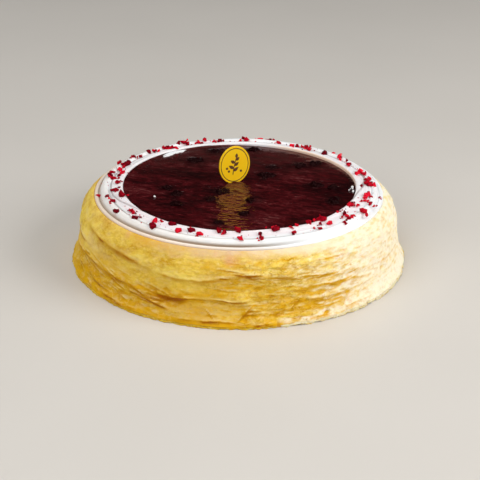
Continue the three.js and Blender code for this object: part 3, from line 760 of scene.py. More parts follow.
def creamMaterial():
    # Whipped cream smoothed with a wet spatula: white, soft edged, satin, light passes into it.
    material, tree, shader = newMaterial(
        "whipped cream, smoothed with a spatula", Roughness=0.42, IOR=1.4, Subsurface_Weight=0.3,
        Subsurface_Scale=0.003, Subsurface_Radius=(1.0, 0.9, 0.82), Specular_IOR_Level=0.45)
    place = addNode(tree, "ShaderNodeTexCoord").outputs["Object"]
    known = {name: addNode(tree, "ShaderNodeAttribute", attribute_name=name).outputs["Fac"]
             for name in ("groove", "lipGroove", "wallTint", "stain")}
    # small bubbles and grains of fat, 4 mm apart
    mottle = addNode(tree, "ShaderNodeTexNoise", {"Vector": place, "Scale": 260.0, "Detail": 3.0})
    # painted shade: the grooves and the dips between streaks are painted a little greyer, as less light gets
    # into them
    workOut(tree, known, [("grooveShade", "LINEAR", "groove", 0.02, 0.45, 0.0, 0.75)])
    colour = addNode(tree, "ShaderNodeMix", {
        0: mottle, 6: toLinear("ebeef0"), 7: toLinear("f4f7f9")}, data_type="RGBA")
    # painted tones: grey painted shade in the grooves, brown in the lip's groove, partly the crepe seen
    # through and partly painted shade, and painted warm light on the wall and lip
    for share, tone in (("grooveShade", "9c9896"), ("lipGroove", "846c50"), ("wallTint", "f8dcc0"),
                        ("stain", "e59aa6")):
        colour = addNode(tree, "ShaderNodeMix", {
            0: known[share], 6: colour.outputs[2], 7: toLinear(tone)}, data_type="RGBA")
    tree.links.new(colour.outputs[2], shader.inputs["Base Color"])
    bump = addNode(tree, "ShaderNodeBump", {"Height": mottle, "Strength": 0.12, "Distance": 0.0004})
    tree.links.new(bump.outputs[0], shader.inputs["Normal"])
    return material


def takeInputs(tree, inputs):
    # gives a tree its named inputs, which the modifier sets, and returns them for its nodes
    kinds = {int: "NodeSocketInt", float: "NodeSocketFloat", bpy.types.Material: "NodeSocketMaterial"}
    tree.interface.new_socket("Geometry", in_out="INPUT", socket_type="NodeSocketGeometry")
    for name, value in inputs.items():
        tree.interface.new_socket(name, in_out="INPUT", socket_type=kinds[type(value)])
    tree.interface.new_socket("Geometry", in_out="OUTPUT", socket_type="NodeSocketGeometry")
    return addNode(tree, "NodeGroupInput").outputs


def creamTree(material):
    tree = bpy.data.node_groups.new("creamRing", "GeometryNodeTree")
    inputs = {
        "Steps": cream["steps"], "Section points": cream["sectionPoints"], "Rim radius": cream["rimRadius"],
        "Cream width": cream["width"], "Groove drift": cream["grooveDrift"],
        "Drift angle": math.radians(cream["grooveDriftAngle"]), "Wave": cream["wave"],
        "Streak depth": cream["streakDepth"], "Seed": cream["seed"],
        "Stroke start": math.radians(cream["strokeStart"]), "Stroke span": math.radians(cream["strokeSpan"]),
        "Stroke out": cream["strokeOut"], "Stroke bend": math.radians(cream["strokeBend"]),
        "Stroke depth": cream["strokeDepth"], "Stroke width": cream["strokeWidth"],
        "Blended side": math.radians(cream["blendedSide"]), "Material": material,
    }
    given = takeInputs(tree, inputs)
    known = {name: given[name] for name in inputs}
    # a sheet whose first side runs along the section and whose second side runs round the ring
    workOut(tree, known, [("across", "ADD", "Section points", 1.0), ("round", "ADD", "Steps", 1.0)])
    sheet = addNode(tree, "GeometryNodeMeshGrid", {
        "Size X": 1.0, "Size Y": 1.0, "Vertices X": known["across"], "Vertices Y": known["round"]})
    spot = addNode(tree, "ShaderNodeSeparateXYZ", {0: addNode(tree, "GeometryNodeInputPosition")}).outputs
    known.update(sheetX=spot["X"], sheetY=spot["Y"])
    workOut(tree, known, [("along", "ADD", "sheetX", 0.5), ("turned", "ADD", "sheetY", 0.5),
                          ("turn", "MULTIPLY", "turned", fullTurn)])
    path = addNode(tree, "GeometryNodeMeshToCurve", {0: given["Geometry"]})
    sample = addNode(tree, "GeometryNodeSampleCurve", {
        "Curves": path, "Factor": known["along"]}, mode="FACTOR")
    section = addNode(tree, "ShaderNodeSeparateXYZ", {0: sample.outputs["Position"]}).outputs
    known.update(offset=section["X"], height=section["Z"], rimWave=0.0, topWave=0.0)
    for name in ("rimWave", "topWave"):
        for count, share, start in cream[name]:
            workOut(tree, known, [
                ("angle", "MULTIPLY_ADD", "turn", count, start), ("swing", "SINE", "angle"),
                (name, "MULTIPLY_ADD", "swing", share, name)])
    workOut(tree, known, [
        ("cosine", "COSINE", "turn"), ("sine", "SINE", "turn"),
        ("onTop", "SMOOTHSTEP", "height", *cream["topStart"]),
        # the groove in the ring's middle drifts outwards to one side, between the wall and the lip
        ("fromLip", "SUBTRACT", "Cream width", "offset"), ("fromDrift", "SUBTRACT", "turn", "Drift angle"),
        ("toDrift", "COSINE", "fromDrift"), ("push", "MULTIPLY", "Groove drift", "toDrift"),
        ("wallHolds", "SMOOTHSTEP", "offset", 2.0, 9.0), ("lipHolds", "SMOOTHSTEP", "fromLip", 0.0, 6.0),
        ("pull", "MULTIPLY", "wallHolds", "lipHolds"), ("drift", "MULTIPLY", "push", "pull"),
        ("nearWall", "SMOOTHSTEP", "fromLip", 0.0, 9.0), ("inner", "MULTIPLY", "rimWave", "nearWall"),
        ("drifted", "ADD", "offset", "drift"),
        ("topLift", "MULTIPLY", "onTop", "Wave"), ("waved", "MULTIPLY", "topLift", "topWave"),
        # where the stroke's groove lies: how far round it has gone, how much is left, and how far out
        ("sinceStart", "SUBTRACT", "turn", "Stroke start"),
        ("gone", "FLOORED_MODULO", "sinceStart", fullTurn), ("left", "SUBTRACT", "Stroke span", "gone"),
        ("bendsOut", "SMOOTHSTEP", "gone", 0.0, "Stroke bend"),
        ("bendsIn", "SMOOTHSTEP", "left", 0.0, "Stroke bend"),
        ("bentOut", "MULTIPLY", "bendsOut", "bendsIn"),
        ("strokeAt", "MULTIPLY_ADD", "Stroke out", "bentOut", cream["strokeIn"]),
        ("strokeEnds", "SMOOTHSTEP", "left", 0.0, 0.1),
        # spatula streaks run along the ring, so their pattern is stretched round it
        ("streakX", "MULTIPLY", "cosine", 3.0), ("streakY", "MULTIPLY", "sine", 3.0),
        ("streakZ", "MULTIPLY", "drifted", 0.8),
    ])
    streakPlace = addNode(tree, "ShaderNodeCombineXYZ", {
        0: known["streakX"], 1: known["streakY"], 2: known["streakZ"]})
    known["streak"] = addNode(tree, "ShaderNodeTexNoise", {
        "Vector": streakPlace, "W": given["Seed"], "Scale": 1.0, "Detail": 4.0, "Roughness": 0.65},
        noise_dimensions="4D").outputs["Fac"]
    # how near each point is to the three grooves
    for name, middle, width in (("stroke", "strokeAt", "Stroke width"), ("lipGroove", *cream["lipGroove"]),
                                ("middleGroove", *cream["middleGroove"])):
        workOut(tree, known, [
            ("from", "SUBTRACT", "offset", middle), ("widths", "DIVIDE", "from", width),
            ("squared", "MULTIPLY", "widths", "widths"), ("fallen", "MULTIPLY", "squared", -1.0),
            (name, "EXPONENT", "fallen")])
    workOut(tree, known, [
        ("strokeHere", "MULTIPLY", "stroke", "strokeEnds"), ("groove", "MULTIPLY", "strokeHere", "onTop"),
        ("streakShare", "SUBTRACT", "streak", 0.5),
        ("streakHigh", "MULTIPLY", "streakShare", "Streak depth"), ("doubled", "MULTIPLY", "onTop", 2.0),
        ("streaked", "MULTIPLY", "streakHigh", "doubled"), ("grooved", "MULTIPLY", "groove", "Stroke depth"),
        ("streaks", "SUBTRACT", "streaked", "grooved"),
        # at the right the lip's groove is filled and the lip is drawn out thin over the crepe
        ("fromBlend", "SUBTRACT", "turn", "Blended side"), ("toBlend", "COSINE", "fromBlend"),
        ("blended", "SMOOTHSTEP", "toBlend", 0.62, 0.95), ("onLip", "SMOOTHSTEP", "height", 46.0, 46.8),
        ("filled", "MULTIPLY", "lipGroove", "blended"), ("filling", "MULTIPLY", "filled", "onLip"),
        ("lift", "ADD", "waved", "filling"),
        # painted shade: the middle groove is painted grey only at the front left, where the light comes
        # across it, and the stroke's groove and the dips between streaks are painted a little grey
        ("toFront", "MULTIPLY", "sine", -1.0), ("frontHalf", "SMOOTHSTEP", "toFront", -0.1, 0.5),
        ("unblended", "MULTIPLY_ADD", "blended", -0.8, 1.0),
        ("inFront", "MULTIPLY", "frontHalf", "unblended"),
        ("middleOnTop", "MULTIPLY", "onTop", "middleGroove"),
        ("middleShown", "MULTIPLY", "middleOnTop", "inFront"), ("streakShade", "MULTIPLY", "streaks", -0.5),
        ("grooveShade", "MULTIPLY_ADD", "groove", 0.22, "streakShade"),
        ("deep", "MULTIPLY_ADD", "middleShown", 0.6, "grooveShade"),
        ("innerOut", "ADD", "Rim radius", "inner"), ("out", "ADD", "innerOut", "drifted"),
        ("outMetres", "MULTIPLY", "out", metre), ("x", "MULTIPLY", "outMetres", "cosine"),
        ("y", "MULTIPLY", "outMetres", "sine"), ("lifted", "ADD", "lift", "streaks"),
        ("top", "ADD", "height", "lifted"), ("z", "MULTIPLY", "top", metre),
    ])
    point = addNode(tree, "ShaderNodeCombineXYZ", {0: known["x"], 1: known["y"], 2: known["z"]})
    # the grooves' painted shade is stored first, while the sheet is still flat
    marked = addNode(tree, "GeometryNodeStoreNamedAttribute", {
        "Geometry": sheet.outputs["Mesh"], "Name": "groove", "Value": known["deep"]},
        data_type="FLOAT", domain="POINT")
    bent = addNode(tree, "GeometryNodeSetPosition", {"Geometry": marked, "Position": point})
    joined = addNode(tree, "GeometryNodeMergeByDistance", {"Geometry": bent, "Distance": 0.000005})
    smooth = addNode(tree, "GeometryNodeSetShadeSmooth", {"Geometry": joined})
    real = addNode(tree, "GeometryNodeRealizeInstances", {"Geometry": smooth})
    coated = addNode(tree, "GeometryNodeSetMaterial", {"Geometry": real, "Material": given["Material"]})
    addNode(tree, "NodeGroupOutput", {0: coated})
    return tree, inputs


def grownPiece(name, points, edges, tree, inputs, values=None):
    # runs a node tree on a mesh of points in millimetres and keeps the result as a plain mesh
    seedMesh = bpy.data.meshes.new(name + "Seed")
    seedMesh.from_pydata(points, edges, [])
    for key, (kind, value) in (values or {}).items():
        attribute = seedMesh.attributes.new(key, kind, "POINT")
        field = "vector" if kind == "FLOAT_VECTOR" else "value"
        attribute.data.foreach_set(field, np.asarray(value, np.float32).ravel())
    seed = bpy.data.objects.new(name + "Seed", seedMesh)
    bpy.context.scene.collection.objects.link(seed)
    modifier = seed.modifiers.new("grow", "NODES")
    modifier.node_group = tree
    for item in tree.interface.items_tree:
        if item.in_out == "INPUT" and item.name in inputs:
            modifier[item.identifier] = inputs[item.name]
    depsgraph = bpy.context.evaluated_depsgraph_get()
    mesh = bpy.data.meshes.new_from_object(seed.evaluated_get(depsgraph), depsgraph=depsgraph)
    mesh.name = name
    piece = bpy.data.objects.new(name, mesh)
    bpy.context.scene.collection.objects.link(piece)
    seed.modifiers.remove(modifier)
    bpy.data.objects.remove(seed)
    return piece


def coordinates(mesh):
    values = np.empty(len(mesh.vertices) * 3, np.float32)
    mesh.vertices.foreach_get("co", values)
    return values.reshape(-1, 3)


def faceOutwards(mesh, inside):
    # turns the mesh the right way round if its volume comes out negative
    mesh.calc_loop_triangles()
    corners = np.array([triangle.vertices for triangle in mesh.loop_triangles])
    points = coordinates(mesh).astype(float) - inside
    first, second, third = [points[corners[:, corner]] for corner in range(3)]
    if np.einsum("ij,ij->i", first, np.cross(second, third)).sum() < 0:
        mesh.flip_normals()


def creamTints(x, y, height, crumbPoints):
    # pink round the crumbs, painted warm light where the crepe is near and on the inner wall, and brown in
    # the lip's groove and along the lip, partly the crepe seen through and partly painted shade
    angle, out = np.arctan2(y, x), np.hypot(x, y)
    stain = (0.08 + 0.09 * fade(-y, 20, 60)) * fade(crumbs["radius"] + 0.6 - out, 0, 3)
    for crumbX, crumbY, _, size in crumbPoints:
        away = np.hypot(x - crumbX, y - crumbY)
        near = away < 5
        stain[near] += 0.28 * bell(away[near], 0.55 * size)
    # painted warm light on the inner wall, on the side where it is lit
    warmWall = fade(1.3 - out + rimAt(angle), 0, 0.9) * fade(52.0 - height, 0, 0.7)
    warmWall *= fade(facing(angle, cream["warmWallSide"]), 0.72, 0.93)
    # the groove inside the lip isn't seen at the right, where the cream covers it
    fromGroove = out - cream["rimRadius"] - cream["lipGroove"][0] + 0.1
    inGroove = bell(fromGroove, np.where(fromGroove > 0, 0.55, 0.8)) * fade(49.4 - height, 0, 1.6)
    onLip = fade(fromGroove, 0.2, 0.9) * fade(48.6 - height, 0, 0.6)
    apart = 1 - fade(facing(angle, cream["blendedSide"]), 0.35, 0.85)
    # brown in the groove and along the lip: partly the crepe seen through, partly painted shade
    lipGroove = np.maximum(inGroove, (0.1 + 0.4 * fade(fromGroove, 1.9, 2.9)) * onLip) * 0.95 * apart
    # painted warm bounce light from the crepe on the lip and the ring's outer part, strongest at one side
    warm = fade(facing(angle, cream["warmSide"]), 0.1, 0.9)
    warmLip = apart * onLip * (0.2 + 0.3 * warm) + 0.22 * warm * fade(fromGroove, -7.5, -4)
    wallTint = 0.9 * np.maximum(warmWall, warmLip)
    return {"stain": np.clip(stain, 0, 0.6), "wallTint": wallTint, "lipGroove": lipGroove}


def makeCream(material, crumbPoints):
    under, *rest = cream["section"]
    top = splinePoints(rest + [under], cream["curvePoints"]).tolist()
    points = [(offset, 0, height) for offset, height in [under] + top]
    edges = [(index, index + 1) for index in range(len(points) - 1)]
    tree, inputs = creamTree(material)
    piece = grownPiece("creamRing", points, edges, tree, inputs)
    faceOutwards(piece.data, np.zeros(3))
    storeValues(piece.data, creamTints(*(coordinates(piece.data) / metre).T, crumbPoints))
    print("cream ring is smoothed")
    return settle(piece, ["cream_ring"])


crumbs = {
    "count": 88, "seed": 41, "radius": 87.6, "drawnIn": 4.8, "drawnInSide": 262, "spread": 7.6, "edge": 0.8,
    "size": (2.3, 4.3), "lift": 0.25, "crowding": 0.12, "crowdedSide": 320,
    # how much slimmer they are at the glaze, and how much broader towards one side
    "slimmest": 0.85, "slimUpTo": (0.8, 3.5), "broader": 0.3, "broadSide": 235,
    "flakes": 2.6, "flakeSeed": 97, "crowd": 1.2, "crowdSide": 345,
    "dust": 200, "dustSize": (0.25, 0.9), "dustSpread": 9.0, "dustBand": (0.6, 15.5),
    "roughen": 0.24, "chipSeed": 5, "chipRadius": 0.6, "darkSide": 200,
}


def bandMiddle(angle):
    # middle of the band that crumbs lie in, out from the cream's inner wall; nearer the glaze in front
    side = max(facing(angle, crumbs["drawnInSide"]), 0)
    return crumbs["radius"] - cream["rimRadius"] - crumbs["drawnIn"] * side ** 2


def crumbPlaces():
    # the larger crumbs, where the solids have them: x, y, height and size
    draw = seededDraw(crumbs["seed"])
    low, high = crumbs["size"]
    places, turns, scales = [], [], []
    for count in range(crumbs["count"]):
        even = math.radians(360 * (count + 1.6 * (next(draw) - 0.5)) / crumbs["count"])
        angle = even - crumbs["crowding"] * math.sin(2 * (even - math.radians(crumbs["crowdedSide"])))
        offset = max(bandMiddle(angle) + crumbs["spread"] * (next(draw) + next(draw) - 1), crumbs["edge"])
        size = low + (high - low) * next(draw) ** 1.5
        # the solids draw six numbers here for the crumb's own corners
        for _ in range(6):
            next(draw)
        tip = math.pi * next(draw)
        long = min(1.0 + 0.7 * next(draw), 1.5)
        turn = fullTurn * next(draw)
        x, y, height = creamPoint(offset, creamHeight(offset), angle)
        places.append((x, y, height + crumbs["lift"] * size, size))
        turns.append((tip, 0, turn))
        slim = crumbs["slimmest"] + (1 - crumbs["slimmest"]) * fade(offset, *crumbs["slimUpTo"])
        broad = slim * (1 + crumbs["broader"] * max(facing(angle, crumbs["broadSide"]), 0)) * size
        scales.append((broad * long, broad * 0.78, broad * 0.66))
    return places, turns, scales


def crumbMaterial():
    # Freeze-dried berry, broken up: dry, deep crimson outside, bright red where it is broken.
    material, tree, shader = newMaterial(
        "freeze-dried berry, crumbled", Roughness=0.7, IOR=1.4, Specular_IOR_Level=0.08)
    place = addNode(tree, "ShaderNodeTexCoord").outputs["Object"]
    tone = addNode(tree, "ShaderNodeAttribute", attribute_name="crumbTone")
    # patches of a millimetre
    patch = addNode(tree, "ShaderNodeTexNoise", {"Vector": place, "Scale": 900.0, "Detail": 2.0})
    known = {"tone": tone.outputs["Fac"], "patch": patch.outputs["Fac"]}
    workOut(tree, known, [("share", "ADD", "tone", "patch"), ("redness", "LINEAR", "share", 0.35, 1.5)])
    ramp = addNode(tree, "ShaderNodeValToRGB", {0: known["redness"]})
    setStops(ramp, [(0.0, "44000c"), (0.3, "7e0014"), (0.65, "c00a22"), (1.0, "f0203a")])
    tree.links.new(ramp.outputs["Color"], shader.inputs["Base Color"])
    return material


def setStops(ramp, tones):
    # gives a colour ramp its places and colours, the first and the last of them at its own two stops
    stops = ramp.color_ramp.elements
    for stop, (position, tone) in zip((stops[0], stops[1]), (tones[0], tones[-1])):
        stop.position, stop.color = position, toLinear(tone)
    for position, tone in tones[1:-1]:
        stops.new(position).color = toLinear(tone)


def crumbTree(material):
    tree = bpy.data.node_groups.new("crumbs", "GeometryNodeTree")
    inputs = {"Radius": crumbs["chipRadius"], "Roughen": crumbs["roughen"], "Seed": crumbs["chipSeed"],
              "Material": material}
    given = takeInputs(tree, inputs)
    chip = addNode(tree, "GeometryNodeMeshIcoSphere", {"Radius": given["Radius"], "Subdivisions": 1})
    turn, scale, size = [
        addNode(tree, "GeometryNodeInputNamedAttribute", {"Name": name}, data_type=kind).outputs["Attribute"]
        for name, kind in (
            ("crumbTurn", "FLOAT_VECTOR"), ("crumbScale", "FLOAT_VECTOR"), ("crumbSize", "FLOAT"))]
    laid = addNode(tree, "GeometryNodeInstanceOnPoints", {
        "Points": given["Geometry"], "Instance": chip.outputs["Mesh"], "Scale": scale,
        "Rotation": addNode(tree, "FunctionNodeEulerToRotation", {0: turn})})
    real = addNode(tree, "GeometryNodeRealizeInstances", {"Geometry": laid})
    # every chip is broken differently: each of its corners is pushed by chance
    chance = addNode(tree, "FunctionNodeRandomValue", {
        "Min": (-1.0, -1.0, -1.0), "Max": (1.0, 1.0, 1.0), "Seed": given["Seed"]}, data_type="FLOAT_VECTOR")
    reach = addNode(tree, "ShaderNodeMath", {0: size, 1: given["Roughen"]}, operation="MULTIPLY")
    push = addNode(tree, "ShaderNodeVectorMath", {
        0: chance.outputs["Value"], "Scale": reach}, operation="SCALE")
    moved = addNode(tree, "GeometryNodeSetPosition", {"Geometry": real, "Offset": push})
    angular = addNode(tree, "GeometryNodeSetShadeSmooth", {"Geometry": moved, "Shade Smooth": False})
    sized = addNode(tree, "GeometryNodeTransform", {"Geometry": angular, "Scale": (metre, metre, metre)})
    whole = addNode(tree, "GeometryNodeRealizeInstances", {"Geometry": sized})
    coated = addNode(tree, "GeometryNodeSetMaterial", {"Geometry": whole, "Material": given["Material"]})
    addNode(tree, "NodeGroupOutput", {0: coated})
    return tree, inputs


def makeCrumbs(material, places, turns, scales):
    draw = seededDraw(crumbs["flakeSeed"])
    spots = [place[:3] for place in places]
    sizes = [place[3] for place in places]
    turns, scales = list(turns), list(scales)
    # small flakes lie against the larger crumbs, and dust lies anywhere on the band
    for x, y, height, size in places:
        crowd = 1 + crumbs["crowd"] * max(facing(math.atan2(y, x), crumbs["crowdSide"]), 0) ** 3
        crowd *= fade(math.hypot(x, y) - cream["rimRadius"], 0.8, 3.0)
        for _ in range(int(crumbs["flakes"] * crowd * next(draw) + 0.5)):
            angle = fullTurn * next(draw)
            away = size * (0.7 + 1.0 * next(draw))
            small = size * (0.3 + 0.4 * next(draw))
            spots.append((x + away * math.cos(angle), y + away * math.sin(angle), height - 0.15))
            sizes.append(small)
            turns.append((math.pi * next(draw), math.pi * next(draw), fullTurn * next(draw)))
            scales.append((small * (1 + 0.8 * next(draw)), small, small * 0.7))
    low, high = crumbs["dustSize"]
    nearest, farthest = crumbs["dustBand"]
    for _ in range(crumbs["dust"]):
        angle = fullTurn * next(draw)
        offset = bandMiddle(angle) + crumbs["dustSpread"] * (next(draw) + next(draw) - 1)
        offset = min(max(offset, nearest), farthest)
        small = low + (high - low) * next(draw) ** 3
        x, y, height = creamPoint(offset, creamHeight(offset), angle)
        spots.append((x, y, height + 0.1 * small))
        sizes.append(small)
        turns.append((math.pi * next(draw), math.pi * next(draw), 0))
        scales.append((small * 1.3, small, small * 0.7))
    # they are a little darker towards one side
    tones = [next(draw) * (0.85 - 0.15 * facing(math.atan2(y, x), crumbs["darkSide"])) for x, y, _ in spots]
    tree, inputs = crumbTree(material)
    piece = grownPiece("berryCrumbs", spots, [], tree, inputs, {
        "crumbTurn": ("FLOAT_VECTOR", turns), "crumbScale": ("FLOAT_VECTOR", scales),
        "crumbSize": ("FLOAT", sizes), "crumbTone": ("FLOAT", tones)})
    print("crumbs are scattered:", len(spots))
    return settle(piece, ["cream_ring"])


glaze = {
    "steps": 560, "rings": 170, "level": 49.4, "underside": 44.8, "overlap": 0.2, "seat": 45.4,
    # height and size of the ripples, and of finer ones that are strongest at one place
    "ripple": 0.17, "rippleSize": 6.5, "fineRipple": 0.12, "fineSize": 1.9, "fineAt": (-3, -22),
    "fineReach": (22, 34),
    # how far it climbs at berries, at the tag and at its edge
    "climb": 0.32, "tagClimb": 0.5, "edgeClimb": (0.15, 0.9), "edgeReach": 1.2, "streakTurn": -18,
}


def glazeMaterial():
    # Thick cooked berry sauce: nearly opaque dark maroon with a wet, very glossy skin.
    material, tree, shader = newMaterial(
        "berry glaze, cooked and set", Roughness=0.13, IOR=1.64, Specular_Tint=toLinear("ff6258"))
    place = addNode(tree, "ShaderNodeTexCoord")
    # pulp lies in broken streaks 8 mm wide and three times as long, in drifts of 50 mm; the lightest, greyer
    # tones of the streaks are a painted sheen of the ripples
    along = addNode(tree, "ShaderNodeMapping", {
        "Vector": place.outputs["Object"], "Rotation": (0, 0, math.radians(glaze["streakTurn"])),
        "Scale": (1.0, 0.36, 1.0)}, vector_type="TEXTURE")
    pulp = addNode(tree, "ShaderNodeTexNoise", {
        "Vector": along, "Scale": 125.0, "Detail": 8.0, "Roughness": 0.78, "Distortion": 0.6})
    drift = addNode(tree, "ShaderNodeTexNoise", {"Vector": along, "Scale": 20.0, "Detail": 2.0})
    known = {"pulp": pulp.outputs["Fac"], "drift": drift.outputs["Fac"]}
    workOut(tree, known, [
        ("total", "MULTIPLY_ADD", "drift", 0.5, "pulp"), ("share", "LINEAR", "total", 0.6, 0.96)])
    tint = addNode(tree, "ShaderNodeValToRGB", {0: known["share"]})
    # the two lightest, greyer stops are a painted sheen
    setStops(tint, [(0.0, "140002"), (0.34, "2e0407"), (0.6, "480a10"), (0.82, "541f21"), (1.0, "683c3a")])
    # a painted sheen makes it browner towards the back, and it is nearly black round the berries
    colour = tint.outputs["Color"]
    for name, tone in (("dull", "40201d"), ("depth", "0e0103")):
        share = addNode(tree, "ShaderNodeAttribute", attribute_name=name)
        colour = addNode(tree, "ShaderNodeMix", {
            0: share.outputs["Fac"], 6: colour, 7: toLinear(tone)}, data_type="RGBA").outputs[2]
    tree.links.new(colour, shader.inputs["Base Color"])
    # the skin wrinkles a little as it sets, 1 mm by 3 mm
    wrinkle = addNode(tree, "ShaderNodeTexNoise", {"Vector": along, "Scale": 330.0, "Detail": 2.0})
    bump = addNode(tree, "ShaderNodeBump", {"Height": wrinkle, "Strength": 0.35, "Distance": 0.0003})
    tree.links.new(bump.outputs[0], shader.inputs["Normal"])
    return material


def makeGlaze(material):
    steps, rings = glaze["steps"], glaze["rings"]
    angle = np.linspace(0, fullTurn, steps, endpoint=False)
    out = np.outer(np.linspace(1, 1 / rings, rings), rimAt(angle) + glaze["overlap"])
    x, y = (out * np.cos(angle)).ravel(), (out * np.sin(angle)).ravel()
    flat = np.column_stack([x, y, np.zeros_like(x)])
    (fineX, fineY), (fineWide, fineDeep) = glaze["fineAt"], glaze["fineReach"]
    ripple = glaze["ripple"] * roughField(flat * (0.75, 1.15, 1), glaze["rippleSize"], 4, 3)
    fine = glaze["fineRipple"] * roughField(flat * (0.55, 1.1, 1), glaze["fineSize"], 6, 2)
    fine *= 1 + 1.3 * bell(x - fineX, fineWide) * bell(y - fineY, fineDeep)
    ripple += fine * fade(30 - y, -20, 45)
    # it lies smoother towards the back
    ripple *= 1 - 0.35 * fade(y, 10, 60) - 0.35 * fade(y - 0.5 * x, 30, 70)
    turnHere = np.arctan2(y, x)
    plainEdge, wetEdge = glaze["edgeClimb"]
    wet = plainEdge + wetEdge * fade(np.sin(turnHere - 0.9), 0.4, 0.95)
    edge = wet * np.exp(-(rimAt(turnHere) - np.hypot(x, y)) / glaze["edgeReach"])
    height = glaze["level"] + ripple + edge
    bent = roughField(flat, 5.0, 8, 2)
    depth = np.zeros_like(x)
    for place, far, width, proud in berries["places"]:
        turn = math.radians(place)
        away = np.hypot(x - far * math.cos(turn), y - far * math.sin(turn)) * (1 + 0.5 * bent)
        height += glaze["climb"] * proud * bell(away, 0.5 * width)
        depth = np.maximum(depth, 0.85 * bell(away, 0.72 * width))
    height += glaze["tagClimb"] * bell(np.hypot(x - tag["x"], (y - tag["y"]) * 1.5), 2.6)
    # painted sheen towards the back, in broken ripples
    dull = fade(y + 12 * bent, 5, 70) * (0.5 + 0.6 * roughField(flat * (0.4, 1.6, 1), 4.0, 9, 3))
    under, level = glaze["underside"], glaze["level"]
    base, top = onCircle(out[0], angle, np.full(steps, under)), np.column_stack([x, y, height])
    points = np.vstack([[(0, 0, under)], base, top, [(0, 0, level)]])
    below = np.zeros(steps + 1)
    piece = meshPiece("berryGlaze", points, turnedFaces(rings + 3, steps), material,
                      depth=np.concatenate([below, depth, [0]]),
                      dull=np.concatenate([below, np.clip(dull, 0, 0.9), [0]]))
    print("glaze is poured")
    return settle(piece, ["berry_glaze"])


smears = {
    "steps": 48, "rows": 13, "thickness": 1.0, "lift": 0.15,
    # cream smeared over the edge of the glaze: angle, distance out, length and width
    "strokes": [(199.5, 59.2, 2.4, 1.5), (127, 78.0, 18, 5.2), (132, 75.4, 9, 1.9), (-1, 76.6, 5, 1.6),
                (-6, 77.0, 4, 1.4), (-4, 74.2, 2.0, 0.8), (-2.5, 75.2, 1.4, 0.8)],
}


def makeSmears(material):
    # thin strokes of cream drawn over the edge of the glaze by the spatula
    unit, _, faces = ball(smears["steps"], smears["rows"])
    for number, (place, far, long, wide) in enumerate(smears["strokes"], 1):
        flat = unit * (long / 2, wide / 2, smears["thickness"] / 2)
        flat[:, :2] *= (1 + 0.5 * roughField(flat + (0, 0, number * 20), 2.2, 41, 3))[:, None]
        flat[:, 2] += 0.12 * roughField(flat, 1.3, 42, 2)
        angle, out = math.radians(place) + flat[:, 0] / far, far + flat[:, 1]
        # it climbs onto the cream
        height = glaze["level"] + smears["lift"] + flat[:, 2] + 0.35 * fade(out, 73, 78)
        points = onCircle(out, angle, height)
        zero = np.zeros(len(points))
        piece = meshPiece(f"creamSmear{number}", points, faces, material, stain=zero, wallTint=zero,
                          groove=zero, lipGroove=zero)
        faceOutwards(piece.data, points.mean(0) * metre)
        settle(piece, ["cream_ring"])


berries = {
    "steps": 64, "rows": 33,
    # size, and how much each changes the berry's width and its height
    "lumps": (4.2, 0.35, 1.1), "wrinkles": (2.2, 0.3, 1.3),
    # angle, distance out, width, and how far each stands out of the glaze
    "places": [
        (123, 55.7, 13, 2.1), (186, 48.9, 9, 1.7), (201, 44.2, 10, 2.1), (219, 52.2, 10, 2.2),
        (232, 30.2, 8, 1.4), (226, 14.5, 11, 1.8), (105, 68.5, 9, 1.4), (82, 70.5, 10, 2.1),
        (46, 25.5, 13, 2.6), (57, 41.5, 9, 1.5), (42, 57.5, 10, 2.0), (39, 69.0, 9, 2.1),
        (3, 52.6, 10, 2.2), (359, 64.0, 9, 1.9), (338, 67.0, 10, 2.1), (287, 26.9, 9, 1.7),
        (274, 48.4, 9, 1.6), (259, 64.4, 8, 1.4),
    ],
}


def makeBerry(number, place, far, width, proud, material):
    unit, around, faces = ball(berries["steps"], berries["rows"])
    bottom, top = glaze["seat"], glaze["level"] + proud
    # out of round, lumpy and wrinkled, most on its upper half
    unit[:, :2] *= (1 + 0.07 * np.sin(2 * around + place) + 0.04 * np.sin(3 * around + far))[:, None]
    points = unit * (width / 2, width / 2, (top - bottom) / 2)
    (lumpSize, lumpOut, lumpUp), (foldSize, foldIn, foldDown) = berries["lumps"], berries["wrinkles"]
    lumps = roughField(points + (0, 0, number * 30), lumpSize, 51, 2)
    wrinkles = np.abs(roughField(points + (0, 0, number * 30), foldSize, 52, 3))
    points[:, :2] *= (1.0 + lumpOut * lumps - foldIn * wrinkles)[:, None]
    points[:, 2] += np.clip(unit[:, 2], 0, 1) * (lumpUp * lumps - foldDown * wrinkles + 0.2)
    turn = math.radians(place)
    points += (far * math.cos(turn), far * math.sin(turn), (top + bottom) / 2)
    name = f"{number:02d}"
    return settle(meshPiece("berry" + name, points, faces, material), ["berry_" + name])


def makeBerries():
    # Cooked berry skin, nearly black and wet with glaze, in wrinkles 2.4 mm apart.
    skin = mottledMaterial(
        "cooked berry skin under glaze", "060001", "1e0306", 420.0, detail=4.0, relief=(1.0, 0.0014),
        Roughness=0.2, IOR=1.4, Specular_IOR_Level=0.13, Specular_Tint=toLinear("e0a8a0"))
    for number, values in enumerate(berries["places"], 1):
        makeBerry(number, *values, skin)
    print("berries are set:", len(berries["places"]))


